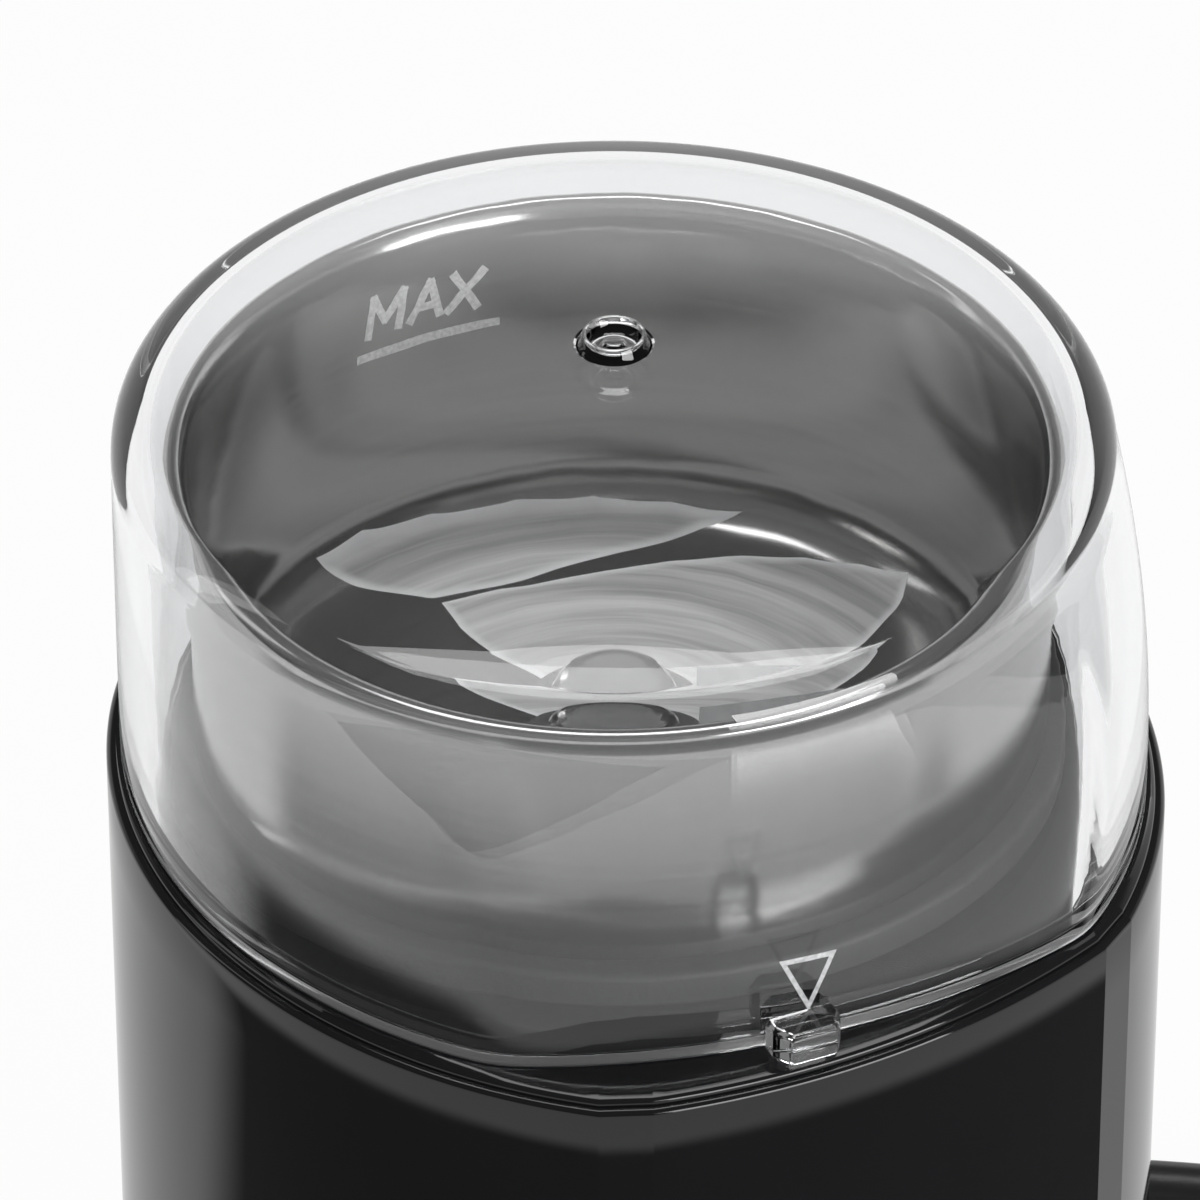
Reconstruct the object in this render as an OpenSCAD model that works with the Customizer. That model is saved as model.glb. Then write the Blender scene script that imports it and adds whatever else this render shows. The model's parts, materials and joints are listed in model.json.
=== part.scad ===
// Electric spice grinder: a gloss housing with an upright motor, a steel bowl with a spinning blade,
// a clear lid, a push button on the front and a mains lead coiled beside it.
// Millimetres, +Z up, front towards -Y. The origin is the middle of the footprint, on the table.
// Every module is drawn about the motor's axis, and placed() carries it into that frame.

/* [Lid] */
// Gap between the lid's round back and the gasket round the bowl
lid_gap = 0.8; // [0.5:0.1:3]
// How much larger the radius of the lid's bowed sides is than that of its back
lid_side_more = 8.7; // [7.5:0.1:12]
// Angle from the front at which the sides meet the round back
lid_side_turn = 116; // [112:1:122]
// Radius of the lid's bowed front edge
lid_front_r = 72; // [64:1:86]
// How much further the lid reaches in front of the motor's axis than behind it
lid_front_more = 4.5; // [3:0.1:6]
// How far to the right the lid's front bows out most
lid_front_shift = 2.5; // [0:0.1:4]
// How softly the lid's two front corners are rounded
corner_soft = 1.6; // [0.5:0.1:3]
// Height of the lid at its shoulder
lid_h = 33; // [32:0.5:45]
// Rise of the lid's domed top above the shoulder
lid_dome = 6.4; // [2:0.1:8]
// Thickness of the lid's side wall
lid_wall = 3; // [2:0.1:3.4]
// Thickness of the lid's top
lid_top_t = 3; // [2:0.1:4]
// Outer radius of the lid's shoulder
lid_shoulder_r = 4; // [3:0.1:6]
// Radius at the foot of the ring round the moulding gate on the lid's top
gate_r = 3.1; // [2.5:0.1:4]
// Height of the gate's ring
gate_rise = 1.3; // [0.6:0.1:1.6]
// Radius of the gate's stub inside its ring
gate_stub_r = 0.8; // [0.5:0.1:1.1]
// Sideways place of the finger tab at the foot of the lid
tab_x = -3.7; // [-8:0.1:8]
// Width of the finger tab
tab_w = 6; // [4:0.5:12]
// How far the tab stands out
tab_out = 3.2; // [2:0.1:3.6]
// Height of the tab
tab_h = 2.2; // [1.6:0.1:3.5]

/* [Housing] */
// How much larger the radius of the housing's bowed sides is than that of its back
body_side_more = 9.7; // [9:0.1:13]
// How far to the right the housing's front bows out most
body_front_shift = -4.3; // [-5:0.1:2]
// Height of the deck that the lid stands on
deck_z = 147; // [140:1:170]
// Drop from the deck down to the housing's rim
rim_drop = 1; // [0.6:0.1:2]
// Width of the ledge outside the lid at the sides and back
ledge_side = 1.2; // [1.2:0.1:4]
// Width of the ledge in front of the lid
ledge_front = 3.6; // [3.6:0.1:6]
// Thickness of the housing's wall
wall = 2.4; // [1.8:0.1:2.8]
// Depth of the deck's spigot inside the housing
spigot_h = 7; // [6:0.5:9]
// Thickness of the deck's floor under the bowl
deck_floor_t = 3; // [2:0.1:3.2]
// Setback of the deck's edge from the housing's side
deck_lip = 0.8; // [0.5:0.1:1]
// Height of the housing's lower edge above the table
skirt_z = 2; // [1.5:0.5:4]
// Thickness of the base plate
base_t = 3; // [2.6:0.1:4]
// Radius of each rubber foot
foot_r = 5.5; // [4:0.5:7]
// Radius of each screw post
post_r = 4; // [3.5:0.1:5]
// Height of the posts for the base plate's screws
post_h = 17; // [12:1:22]
// Height of the lugs for the deck's screws
lug_h = 11; // [8:1:12]
// Shank radius of the housing's screws
screw_r = 1.5; // [1.2:0.1:2]

/* [Bowl] */
// Inner radius of the bowl
bowl_r = 35.5; // [32:0.1:35.6]
// Thickness of the bowl's sheet
bowl_t = 0.8; // [0.6:0.1:1]
// Height of the bowl's rim above the deck
bowl_rise = 27; // [22:0.5:28]
// Depth of the bowl's floor below the deck
bowl_sink = 3; // [2:0.1:3.2]
// Radius between the bowl's floor and wall
bowl_fillet_r = 6; // [4:0.5:8]
// Width of the rolled rim
bead_w = 2; // [1.4:0.1:2]
// Height of the rolled rim
bead_h = 2.4; // [2:0.1:3.5]
// Width of the gasket ring around the bowl
gasket_w = 2.2; // [1.4:0.1:2.4]
// Height of the gasket ring
gasket_h = 3; // [0.8:0.1:4]

/* [Motor] */
// Radius of the motor shaft
shaft_r = 2.5; // [2.2:0.1:3]
// Height of the shaft's lower end
shaft_z = 46; // [40:1:47]
// Outer radius of the two bushes
bush_r = 5.5; // [4.5:0.1:6.5]
// Length of the two bushes
bush_h = 8; // [6:1:10]
// Height of the stator's lower face
stator_z = 78; // [77:1:80]
// Height of the stator's stack
stator_h = 24; // [20:1:26]
// Width of the stator
stator_w = 64; // [62:1:66]
// Depth of the stator
stator_d = 50; // [48:1:52]
// Distance of the motor's long screws from the axis
motor_screw_x = 28; // [28:0.1:28.5]
// Shank radius of the motor's long screws
motor_screw_r = 1.9; // [1.5:0.1:2]
// Radius of the armature's core
armature_r = 14.1; // [13:0.1:14.4]
// Gap between the armature and the stator
air_gap = 0.5; // [0.4:0.1:0.8]
// Number of slots in the armature
armature_slots = 12; // [8:1:16]
// Radius of the commutator
commutator_r = 8; // [7:0.1:8.5]
// Length of the commutator
commutator_h = 10; // [8:1:11]
// Side of each square carbon brush
brush_side = 5; // [4:0.1:6]
// Radius of the cooling fan
fan_r = 22; // [18:0.5:22.5]
// Number of the fan's vanes
fan_vanes = 9; // [5:1:13]
// Thickness of the brackets' bars
bracket_t = 2.5; // [2:0.1:3]
// Width of the brackets' bars
bracket_w = 14; // [12:0.5:16]

/* [Blade] */
// Reach of the blade from the axis
blade_reach = 29; // [22:0.5:29.5]
// Width of the blade's wings
blade_w = 11; // [8:0.5:12]
// Thickness of the blade
blade_t = 1.5; // [1:0.1:1.8]
// Pitch of the blade's wings in degrees
blade_pitch = 13; // [5:1:15]
// Angle at which the blade has stopped
blade_rest = -24; // [-180:1:180]

/* [Button] */
// Width of the button
button_w = 28; // [18:0.5:30]
// Height of the button
button_h = 15; // [12:0.5:16]
// Height of the button's middle above the table
button_z = 115; // [113:1:117]
// How far the button stands out of the housing
button_out = 2.9; // [2.8:0.1:4]
// Travel of the button
button_travel = 2.5; // [1.5:0.1:2.6]
// Radius of the button's stem
stem_r = 3; // [2.4:0.1:3.5]

/* [Lid interlock] */
// Radius of the pin that the lid holds down
pin_r = 1.5; // [1.2:0.1:1.6]
// Travel of the pin
pin_travel = 1.5; // [1:0.1:1.8]

/* [Lead] */
// Diameter of the mains lead
cord_d = 6.2; // [5.5:0.1:6.6]
// Height of the strain relief's axis above the table
relief_z = 12; // [11:0.5:16]
// Length of the strain relief outside the housing
relief_l = 28.5; // [20:0.1:40]
// Radius of the strain relief where it leaves the housing
relief_r = 5; // [4.5:0.1:6]

/* [Hidden] */

$fn = 64;
eps = 0.01;
// Points around the housing's and the lid's outline
plan_n = 72;
// Running clearance of a shaft or pin in its bore
run = 0.05;
// Clearance of a loose fit
fit_gap = 0.2;

// Heights in the stack
rim_z = deck_z - rim_drop;
spigot_z = rim_z - spigot_h;
bowl_floor_z = deck_z - bowl_sink;
bowl_bottom_z = bowl_floor_z - bowl_t;
deck_floor_z = bowl_bottom_z - deck_floor_t;
base_z = skirt_z + base_t;
lid_z = deck_z;

// The lid's round back, and its top, clear the gasket round the bowl
lid_back_r = bowl_r + bowl_t + gasket_w + lid_gap + lid_wall;
lid_front = lid_back_r + lid_front_more;

// Polar radius of the outline's sides and back at an angle from the front, moved in by a distance. The
// bowed sides have a radius larger than the back's.
function side_polar(a, in, more) =
    let (b = a > 180 ? 360 - a : a, c = more * cos(b - lid_side_turn))
    b >= lid_side_turn ? lid_back_r - in
        : -c + sqrt(c * c + pow(lid_back_r + more - in, 2) - more * more);

// Polar radius of the bowed front, whose arc has its centre behind the axis and shifted to the right
front_cy = lid_front_r - lid_front;
function front_polar(a, in, shift) =
    let (c = front_cy * cos(a) - shift * sin(a))
    -c + sqrt(c * c + pow(lid_front_r - in, 2) - front_cy * front_cy - shift * shift);

function soft_min(p, q, soft) = (p + q - sqrt(pow(p - q, 2) + soft * soft)) / 2;

function lid_foot_r(a) =
    soft_min(side_polar(a, 0, lid_side_more), front_polar(a, 0, lid_front_shift), corner_soft);

function toward(a, r) = r * [sin(a), -cos(a)];

function plan_angles() = [for (i = [0:plan_n - 1]) 360 * i / plan_n];

// The housing's outline moved in by a distance. A narrow flat face cuts each of its front corners.
function body_r(a, in) = min(side_polar(a, in - ledge_side, body_side_more),
    front_polar(a, in - ledge_front, body_front_shift));

// Where the footprint's middle lies from the motor's axis
lid_reach = lid_foot_r(0);
body_front = lid_front + ledge_front;
body_back = body_r(180, 0);
axis_y = (body_front + button_out - body_back) / 2;

module body_prism(in, z0, z1) {
    translate([0, 0, z0])
        linear_extrude(z1 - z0)
            polygon([for (a = plan_angles()) toward(a, body_r(a, in))]);
}

module placed() {
    translate([0, axis_y, 0]) children();
}

// A tube of any outline of radius r along points, as a mesh of flat facets
function unit(v) = v / norm(v);
function sweep_dir(pts, i) = unit(pts[min(i + 1, len(pts) - 1)] - pts[max(i - 1, 0)]);

module sweep(pts, r, sides, up) {
    rings = [for (i = [0:len(pts) - 1])
        let (t = sweep_dir(pts, i), u = unit(cross(t, up)), v = cross(u, t))
        for (k = [0:sides - 1]) pts[i] + r * (cos(360 * k / sides) * u + sin(360 * k / sides) * v)];
    last = (len(pts) - 1) * sides;
    polyhedron(rings, concat(
        [[for (k = [0:sides - 1]) k]],
        [[for (k = [0:sides - 1]) last + sides - 1 - k]],
        [for (i = [0:len(pts) - 2]) for (k = [0:sides - 1])
            let (a = i * sides + k, b = i * sides + (k + 1) % sides)
            [a, a + sides, b + sides, b]]));
}

// A coil spring that stands on z = 0
module spring(r, wire_r, length, turns) {
    steps = 10;
    sweep([for (i = [0:turns * steps])
        [r * cos(360 * i / steps), r * sin(360 * i / steps),
            wire_r + (length - 2 * wire_r) * i / (turns * steps)]], wire_r, 6, [0, 0, 1]);
}

module tube(r, bore_r, z0, z1) {
    translate([0, 0, z0]) difference() {
        cylinder(r = r, h = z1 - z0);
        translate([0, 0, -1]) cylinder(r = bore_r, h = z1 - z0 + 2);
    }
}

module rod(r, z0, z1) {
    translate([0, 0, z0]) cylinder(r = r, h = z1 - z0);
}

// A box given by its lowest and highest corners
module block(low, high) {
    translate(low) cube(high - low);
}

// ---- Housing ----

// Screw posts stand at these angles from the front, just inside the wall
post_angles = [46, 134, 226, 314];
post_in = wall + 3;

module at_posts() {
    for (a = post_angles) {
        xy = toward(a, body_r(a, post_in));
        translate([xy[0], xy[1], 0]) children();
    }
}

// Clearance of the button in its hole
button_gap = 0.3;

// A flat-sided round-ended shape, drawn through the front along Y
module front_pill(w, h, y0, y1) {
    translate([0, y1, button_z]) rotate([90, 0, 0]) linear_extrude(y1 - y0) {
        square([w - h, h], center = true);
        for (s = [-1, 1]) translate([s * (w - h) / 2, 0]) circle(d = h);
    }
}

module along_back(y, z) {
    translate([0, y, z]) rotate([-90, 0, 0]) children();
}

module housing() {
    color("#141414") difference() {
        union() {
            difference() {
                body_prism(0, skirt_z, rim_z);
                body_prism(wall, skirt_z - 1, rim_z + 1);
            }
            intersection() {
                body_prism(wall / 2, skirt_z, rim_z);
                at_posts() {
                    rod(post_r, base_z, base_z + post_h);
                    rod(post_r, spigot_z - lug_h, spigot_z);
                }
            }
        }
        at_posts() {
            rod(screw_r, base_z - 1, base_z + post_h - 2);
            rod(screw_r + fit_gap, spigot_z - lug_h - 1, spigot_z + 1);
        }
        front_pill(button_w + 2 * button_gap, button_h + 2 * button_gap,
            -body_front - 1, -body_front + wall * 3);
        along_back(body_back - wall * 3, relief_z) cylinder(r = relief_neck_r, h = wall * 4);
    }
}

deck_screw_l = 6;

module top_deck() {
    color("#141414") difference() {
        union() {
            body_prism(deck_lip, rim_z, deck_z);
            body_prism(wall + fit_gap, spigot_z, rim_z);
            at_motor_screws() rod(motor_boss_r, damper_top_z, deck_z - 5);
        }
        rod(bowl_r + bowl_t + fit_gap, bowl_bottom_z, deck_z + 1);
        difference() {
            rod(bowl_r - 2, spigot_z - 1, deck_floor_z);
            at_motor_screws() rod(motor_boss_r, spigot_z - 2, deck_floor_z + 1);
        }
        rod(seal_neck_r, spigot_z - 1, deck_z + 1);
        at_motor_screws() rod(motor_screw_r, damper_top_z - 1, deck_floor_z - 1);
        at_posts() rod(screw_r, spigot_z - 1, spigot_z + deck_screw_l);
        translate([0, pin_y, 0]) rod(pin_r + run, spigot_z - 1, deck_z + 1);
    }
}

foot_angles = [38, 142, 218, 322];
foot_in = 14;
foot_seat = 1.3;

module at_feet() {
    for (a = foot_angles) {
        xy = toward(a, body_r(a, foot_in));
        translate([xy[0], xy[1], 0]) children();
    }
}

head_h = 1.6;
head_r = screw_r * 1.9;

module base_plate() {
    color("#1b1b1b") difference() {
        body_prism(wall + fit_gap, skirt_z, base_z);
        at_posts() {
            rod(screw_r + fit_gap, skirt_z - 1, base_z + 1);
            rod(head_r + fit_gap, skirt_z - 1, skirt_z + head_h);
        }
        at_feet() rod(foot_r, skirt_z - 1, skirt_z + foot_seat);
    }
}

module rubber_feet() {
    top_z = skirt_z + foot_seat;
    color("#2a2a2a") at_feet() rotate_extrude()
        polygon([[0, 0], [foot_r - 0.8, 0], [foot_r, 0.8], [foot_r, top_z], [0, top_z]]);
}

module base_screws() {
    color("#8c8f92") at_posts() {
        rod(head_r, skirt_z, skirt_z + head_h);
        rod(screw_r, skirt_z + head_h, base_z + post_h - 3);
    }
}

module deck_screws() {
    color("#8c8f92") at_posts() {
        rod(head_r, spigot_z - lug_h - head_h, spigot_z - lug_h);
        rod(screw_r, spigot_z - lug_h, spigot_z + deck_screw_l - 1);
    }
}

// ---- Bowl ----

function arc(cx, cy, r, a0, a1, n) =
    [for (i = [0:n]) let (a = a0 + (a1 - a0) * i / n) [cx + r * cos(a), cy + r * sin(a)]];

seal_neck_r = 4.2;
rim_top_z = deck_z + bowl_rise;

module bowl() {
    outer_r = bowl_r + bowl_t;
    bead_cx = bowl_r + bead_w / 2;
    in_fillet_r = bowl_fillet_r - bowl_t;
    color("#b9bbbd") rotate_extrude() polygon(concat(
        [[seal_neck_r, bowl_floor_z], [seal_neck_r, bowl_bottom_z]],
        arc(outer_r - bowl_fillet_r, bowl_bottom_z + bowl_fillet_r, bowl_fillet_r, -90, 0, 6),
        [[outer_r, rim_top_z - bead_h], [bowl_r + bead_w, rim_top_z - bead_h]],
        arc(bead_cx, rim_top_z - bead_w / 2, bead_w / 2, 0, 180, 8),
        arc(bowl_r - in_fillet_r, bowl_floor_z + in_fillet_r, in_fillet_r, 0, -90, 6)));
}

module bowl_gasket() {
    inner_r = bowl_r + bowl_t;
    outer_r = inner_r + gasket_w;
    color("#1d1d1d") translate([0, 0, deck_z]) rotate_extrude() polygon([[inner_r, 0], [outer_r, 0],
        [outer_r, gasket_h / 2], [inner_r + gasket_w / 2, gasket_h], [inner_r, gasket_h]]);
}

seal_flange_r = 6;
seal_flange_h = 1.2;

module shaft_seal() {
    color("#1d1d1d") {
        tube(seal_neck_r, shaft_r + run, deck_floor_z, bowl_floor_z);
        tube(seal_flange_r, shaft_r + run, bowl_floor_z, bowl_floor_z + seal_flange_h);
    }
}

// ---- Motor ----

motor_post_r = 4;
motor_boss_r = motor_post_r + 0.5;
bracket_reach = motor_screw_x + 5;
hub_r = bush_r + 2.5;
lower_bar_z = 52;
lower_bush_z = 49;
upper_bar_z = 121;
upper_bush_z = 120;
stator_top_z = stator_z + stator_h;
damper_h = 2.5;
damper_z = upper_bar_z + bracket_t;
damper_top_z = damper_z + damper_h;

module at_motor_screws() {
    for (s = [-1, 1]) translate([s * motor_screw_x, 0, 0]) children();
}

module bar(half_x, half_y, z) {
    block([-half_x, -half_y, z], [half_x, half_y, z + bracket_t]);
}

module upper_bracket() {
    color("#9ea3a6") difference() {
        union() {
            bar(bracket_reach, bracket_w / 2, upper_bar_z);
            rod(hub_r, upper_bush_z - 1, upper_bush_z + bush_h);
            at_motor_screws() rod(motor_post_r, stator_top_z, upper_bar_z + eps);
        }
        rod(bush_r, upper_bush_z, upper_bush_z + bush_h + 1);
        rod(shaft_r + 1, upper_bush_z - 2, upper_bush_z + 1);
        at_motor_screws() rod(motor_screw_r + fit_gap / 2, stator_top_z - 1, upper_bar_z + bracket_t + 1);
    }
}

brush_holder_reach = 25;

module lower_bracket() {
    color("#9ea3a6") difference() {
        union() {
            bar(bracket_reach, bracket_w / 2, lower_bar_z);
            bar(bracket_w / 2, brush_holder_reach + 1, lower_bar_z);
            rod(hub_r, lower_bush_z, lower_bush_z + bush_h + 1);
            at_motor_screws() rod(motor_post_r, lower_bar_z, stator_z);
        }
        rod(bush_r, lower_bush_z - 1, lower_bush_z + bush_h);
        rod(shaft_r + 1, lower_bush_z, lower_bush_z + bush_h + 2);
        at_motor_screws() rod(motor_screw_r + fit_gap / 2, lower_bar_z - 1, stator_z + 1);
    }
}

module upper_bush() {
    color("#a9793f") tube(bush_r, shaft_r + run, upper_bush_z, upper_bush_z + bush_h);
}

module lower_bush() {
    color("#a9793f") tube(bush_r, shaft_r + run, lower_bush_z, lower_bush_z + bush_h);
}

module motor_dampers() {
    color("#222222") at_motor_screws()
        tube(motor_post_r + 1, motor_screw_r + fit_gap / 2, damper_z, damper_top_z);
}

module motor_screws() {
    color("#8c8f92") at_motor_screws() {
        rod(motor_screw_r * 1.9, lower_bar_z - 3, lower_bar_z);
        rod(motor_screw_r, lower_bar_z, deck_floor_z - 3);
    }
}

window_w = 50;
window_d = 40;
pole_w = 32;

module stator_core() {
    color("#6d7073") translate([0, 0, stator_z]) difference() {
        intersection() {
            union() {
                difference() {
                    translate([-stator_w / 2, -stator_d / 2, 0]) cube([stator_w, stator_d, stator_h]);
                    translate([-window_w / 2, -window_d / 2, -1]) cube([window_w, window_d, stator_h + 2]);
                }
                translate([-pole_w / 2, -window_d / 2 - 1, 0]) cube([pole_w, window_d + 2, stator_h]);
            }
            translate([0, 0, -1]) cylinder(r = lid_back_r - wall - 2, h = stator_h + 2);
        }
        translate([0, 0, -1]) cylinder(r = armature_r + air_gap, h = stator_h + 2);
        at_motor_screws() rod(motor_screw_r + fit_gap / 2, -1, stator_h + 1);
    }
}

coil_side = 5.8;
coil_gap = 0.2;

module field_coils() {
    low_y = armature_r + air_gap + 0.9;
    out_x = pole_w / 2 + coil_side;
    in_x = pole_w / 2 + coil_gap;
    color("#b5651d") for (s = [0, 180]) rotate([0, 0, s]) difference() {
        block([-out_x, low_y, stator_z - coil_side], [out_x, window_d / 2, stator_top_z + coil_side]);
        block([-in_x, low_y - 1, stator_z - coil_gap], [in_x, window_d / 2 + 1, stator_top_z + coil_gap]);
    }
}

module motor_shaft() {
    color("#c4c6c8") {
        rod(shaft_r, shaft_z, collar_z + eps);
        rod(collar_r, collar_z, blade_z);
        rod(thread_r, blade_z - eps, blade_z + blade_t + thread_h);
    }
}

core_in = 1;
core_z0 = stator_z + core_in;
core_z1 = stator_top_z - core_in;

module armature_core() {
    color("#5c5f62") difference() {
        tube(armature_r, shaft_r, core_z0, core_z1);
        for (i = [0:armature_slots - 1]) rotate([0, 0, 360 * i / armature_slots])
            block([armature_r - 5, -1, core_z0 - 1], [armature_r + 1, 1, core_z1 + 1]);
    }
}

winding_h = 6;
winding_r = 12.5;
winding_in_r = 4;

module armature_windings() {
    color("#b5651d") for (z = [core_z0 - winding_h, core_z1]) translate([0, 0, z]) rotate_extrude()
        polygon([[winding_in_r, 0], [winding_r - 2, 0], [winding_r, 2], [winding_r, winding_h - 2],
            [winding_r - 2, winding_h], [winding_in_r, winding_h]]);
}

commutator_z = lower_bush_z + bush_h + 2.5;

module commutator() {
    top_z = commutator_z + commutator_h;
    color("#b87333") difference() {
        tube(commutator_r, shaft_r, commutator_z, top_z);
        for (i = [0:armature_slots - 1]) rotate([0, 0, 360 * i / armature_slots])
            block([commutator_r - 1.5, -0.3, commutator_z - 1], [commutator_r + 1, 0.3, top_z + 1]);
    }
}

brush_z = commutator_z + commutator_h / 2;
brush_l = 10;
brush_y = commutator_r + 0.1;

module at_brushes() {
    for (s = [0, 180]) rotate([0, 0, s]) children();
}

module carbon_brushes() {
    half = brush_side / 2;
    color("#2e2e30") at_brushes()
        block([-half, brush_y, brush_z - half], [half, brush_y + brush_l, brush_z + half]);
}

module brush_holders() {
    half = brush_side / 2 + run;
    color("#b08d3f") at_brushes() difference() {
        block([-half - 1.5, brush_y + 3, lower_bar_z + bracket_t],
            [half + 1.5, brush_holder_reach, brush_z + half + 1.5]);
        block([-half, brush_y, brush_z - half], [half, brush_holder_reach - 1.5, brush_z + half]);
    }
}

module brush_springs() {
    length = brush_holder_reach - 1.5 - brush_y - brush_l;
    color("#c4c6c8") at_brushes() translate([0, brush_y + brush_l, brush_z]) rotate([-90, 0, 0])
        spring(brush_side / 2 - 0.8, 0.3, length, 4);
}

fan_z = 111;
fan_h = 7;
fan_disc_t = 1.2;
fan_hub_r = 6;

module cooling_fan() {
    color("#d8d4c6") {
        tube(fan_r, shaft_r, fan_z, fan_z + fan_disc_t);
        tube(fan_hub_r, shaft_r, fan_z, fan_z + fan_h);
        for (i = [0:fan_vanes - 1]) rotate([0, 0, 360 * i / fan_vanes])
            block([fan_hub_r - 0.5, -0.6, fan_z], [fan_r - 0.5, 0.6, fan_z + fan_h]);
    }
}

// ---- Blade ----

collar_z = bowl_floor_z + seal_flange_h + 0.2;
collar_r = 4.5;
blade_z = collar_z + 0.4;
thread_r = 2;
thread_h = 2.6;
blade_hub_r = 8;
nut_h = 3.8;
nut_round_r = 2.2;
nut_r = 5.5;

module blade() {
    color("#c9cbcd") rotate([0, 0, blade_rest]) difference() {
        union() {
            rod(blade_hub_r, blade_z, blade_z + blade_t);
            for (s = [0, 180]) rotate([0, 0, s]) translate([0, 0, blade_z + blade_t / 2])
                rotate([blade_pitch, 0, 0]) linear_extrude(blade_t, center = true)
                    polygon([[blade_hub_r - 1, -blade_w / 2], [blade_reach - 3, -blade_w / 2],
                        [blade_reach, blade_w * 0.1], [blade_reach - 5, blade_w / 2],
                        [blade_hub_r - 1, blade_w / 2]]);
        }
        rod(thread_r, blade_z - 5, blade_z + blade_t + 5);
    }
}

module blade_nut() {
    low = blade_z + blade_t;
    color("#c9cbcd") difference() {
        translate([0, 0, low]) rotate_extrude() polygon(concat([[0, 0], [nut_r, 0]],
            arc(nut_r - nut_round_r, nut_h - nut_round_r, nut_round_r, 0, 90, 5), [[0, nut_h]]));
        rod(thread_r, low - 1, low + thread_h);
    }
}

// ---- Lid ----

// The lid's front and sides lean in from its foot to the round top, the front sooner than the sides,
// and they meet in a soft crease.
function lean(foot_r, top_r, share) = foot_r + (top_r - foot_r) * share;
function lid_r(a, rise, in) =
    soft_min(lean(side_polar(a, in, lid_side_more), lid_back_r - in, pow(rise, 3)),
        lean(front_polar(a, in, lid_front_shift), lid_back_r - in, pow(rise, 2)), corner_soft * (1 - rise));

function ring_at(r_of, z) = [for (a = plan_angles()) concat(toward(a, r_of(a)), [z])];

lid_rises = [0, 0.25, 0.5, 0.75, 1];
// The shoulder turns until it leans as the dome's edge does
shoulder_turn = 90 - atan(2 * lid_dome / (lid_back_r - lid_shoulder_r));
dome_shares = [0.8, 0.6, 0.4, 0.2];
lid_straight = lid_h - lid_shoulder_r;

// Rings of a shoulder that turns in from a wall of radius r at height z, and of the dome inside it
function edge_r(r, bend_r) = r - bend_r * (1 - cos(shoulder_turn));
function dome_z(r, z, bend_r, share) =
    let (flatter = pow(edge_r(r, bend_r) / edge_r(lid_back_r, lid_shoulder_r), 2))
    z + bend_r * sin(shoulder_turn) + lid_dome * flatter * (1 - share * share);
function crown(r, z, bend_r) = concat(
    [for (f = [0.25, 0.5, 0.75, 1])
        ring_at(function(a) r - bend_r * (1 - cos(f * shoulder_turn)), z + bend_r * sin(f * shoulder_turn))],
    [for (q = dome_shares) ring_at(function(a) q * edge_r(r, bend_r), dome_z(r, z, bend_r, q))]);

module lid_shell() {
    in_bend_r = lid_shoulder_r - 1.5;
    in_straight = lid_h - lid_top_t - in_bend_r;
    inner = concat(
        [for (h = lid_rises) ring_at(function(a) lid_r(a, h, lid_wall), h * in_straight)],
        crown(lid_back_r - lid_wall, in_straight, in_bend_r));
    outer = concat(
        [for (h = lid_rises) ring_at(function(a) lid_r(a, h, 0), h * lid_straight)],
        crown(lid_back_r, lid_straight, lid_shoulder_r));
    rings = concat([for (i = [len(inner) - 1:-1:0]) inner[i]], outer);
    m = len(rings);
    polyhedron([for (ring = rings) for (p = ring) p], concat(
        [[for (k = [plan_n - 1:-1:0]) k]],
        [[for (k = [0:plan_n - 1]) (m - 1) * plan_n + plan_n - 1 - k]],
        [for (j = [0:m - 2]) for (k = [0:plan_n - 1])
            let (a = j * plan_n + k, b = j * plan_n + (k + 1) % plan_n)
            [a, a + plan_n, b + plan_n, b]]));
}

// How far each side of the gate's ring leans over its height
gate_lean = 0.45;
// Thickness of the ring at its foot
gate_wall = 1.2;
gate_stub_h = 0.4;
// How deep the ring and the stub are rooted in the lid's top
gate_root = 0.3;

module gate() {
    ring_h = gate_rise + gate_root;
    translate([0, 0, -gate_root]) {
        difference() {
            cylinder(r1 = gate_r, r2 = gate_r - gate_lean, h = ring_h);
            translate([0, 0, -1])
                cylinder(r1 = gate_r - gate_wall, r2 = gate_r - gate_wall + gate_lean, h = ring_h + 2);
        }
        cylinder(r = gate_stub_r, h = gate_root + gate_stub_h);
    }
}

module lid() {
    top_z = dome_z(lid_back_r, lid_straight, lid_shoulder_r, dome_shares[len(dome_shares) - 1]);
    color("#dfe6ea", 0.4) translate([0, 0, lid_z]) {
        lid_shell();
        translate([0, 0, top_z]) gate();
        translate([tab_x, -lid_reach, 0]) linear_extrude(tab_h)
            polygon([[-tab_w / 2, 1], [-tab_w / 2, -tab_out * 0.45], [-tab_w / 3, -tab_out],
                [tab_w / 3, -tab_out], [tab_w / 2, -tab_out * 0.45], [tab_w / 2, 1]]);
    }
}

// ---- Button and switch ----

flange_grow = 1.5;
// Clearance of the button's flange behind the wall
flange_gap = 0.3;
// Inside of the housing's wall at the front
wall_in_y = -body_front + wall;
flange_y = wall_in_y + 2.2;
guide_y = flange_y + 5.6;
guide_t = 2;
// How far the guide reaches past the button on each side
guide_more_w = 9;
guide_more_h = 2.5;
stem_end_y = guide_y + guide_t - 0.3;
switch_y = stem_end_y + button_travel + 0.3;
plunger_r = 2;
plunger_l = 5.5;
switch_size = [20, 10, 16];
switch_low_z = button_z - switch_size[2] / 2;

module along_y(r, y0, y1) {
    translate([0, y0, button_z]) rotate([-90, 0, 0]) cylinder(r = r, h = y1 - y0);
}

// What lies behind a face that stands out from the housing's bowed front
module bowed_front(out) {
    translate([body_front_shift, front_cy, 0])
        rod(front_cy + body_front + out, button_z - button_h, button_z + button_h);
}

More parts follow.
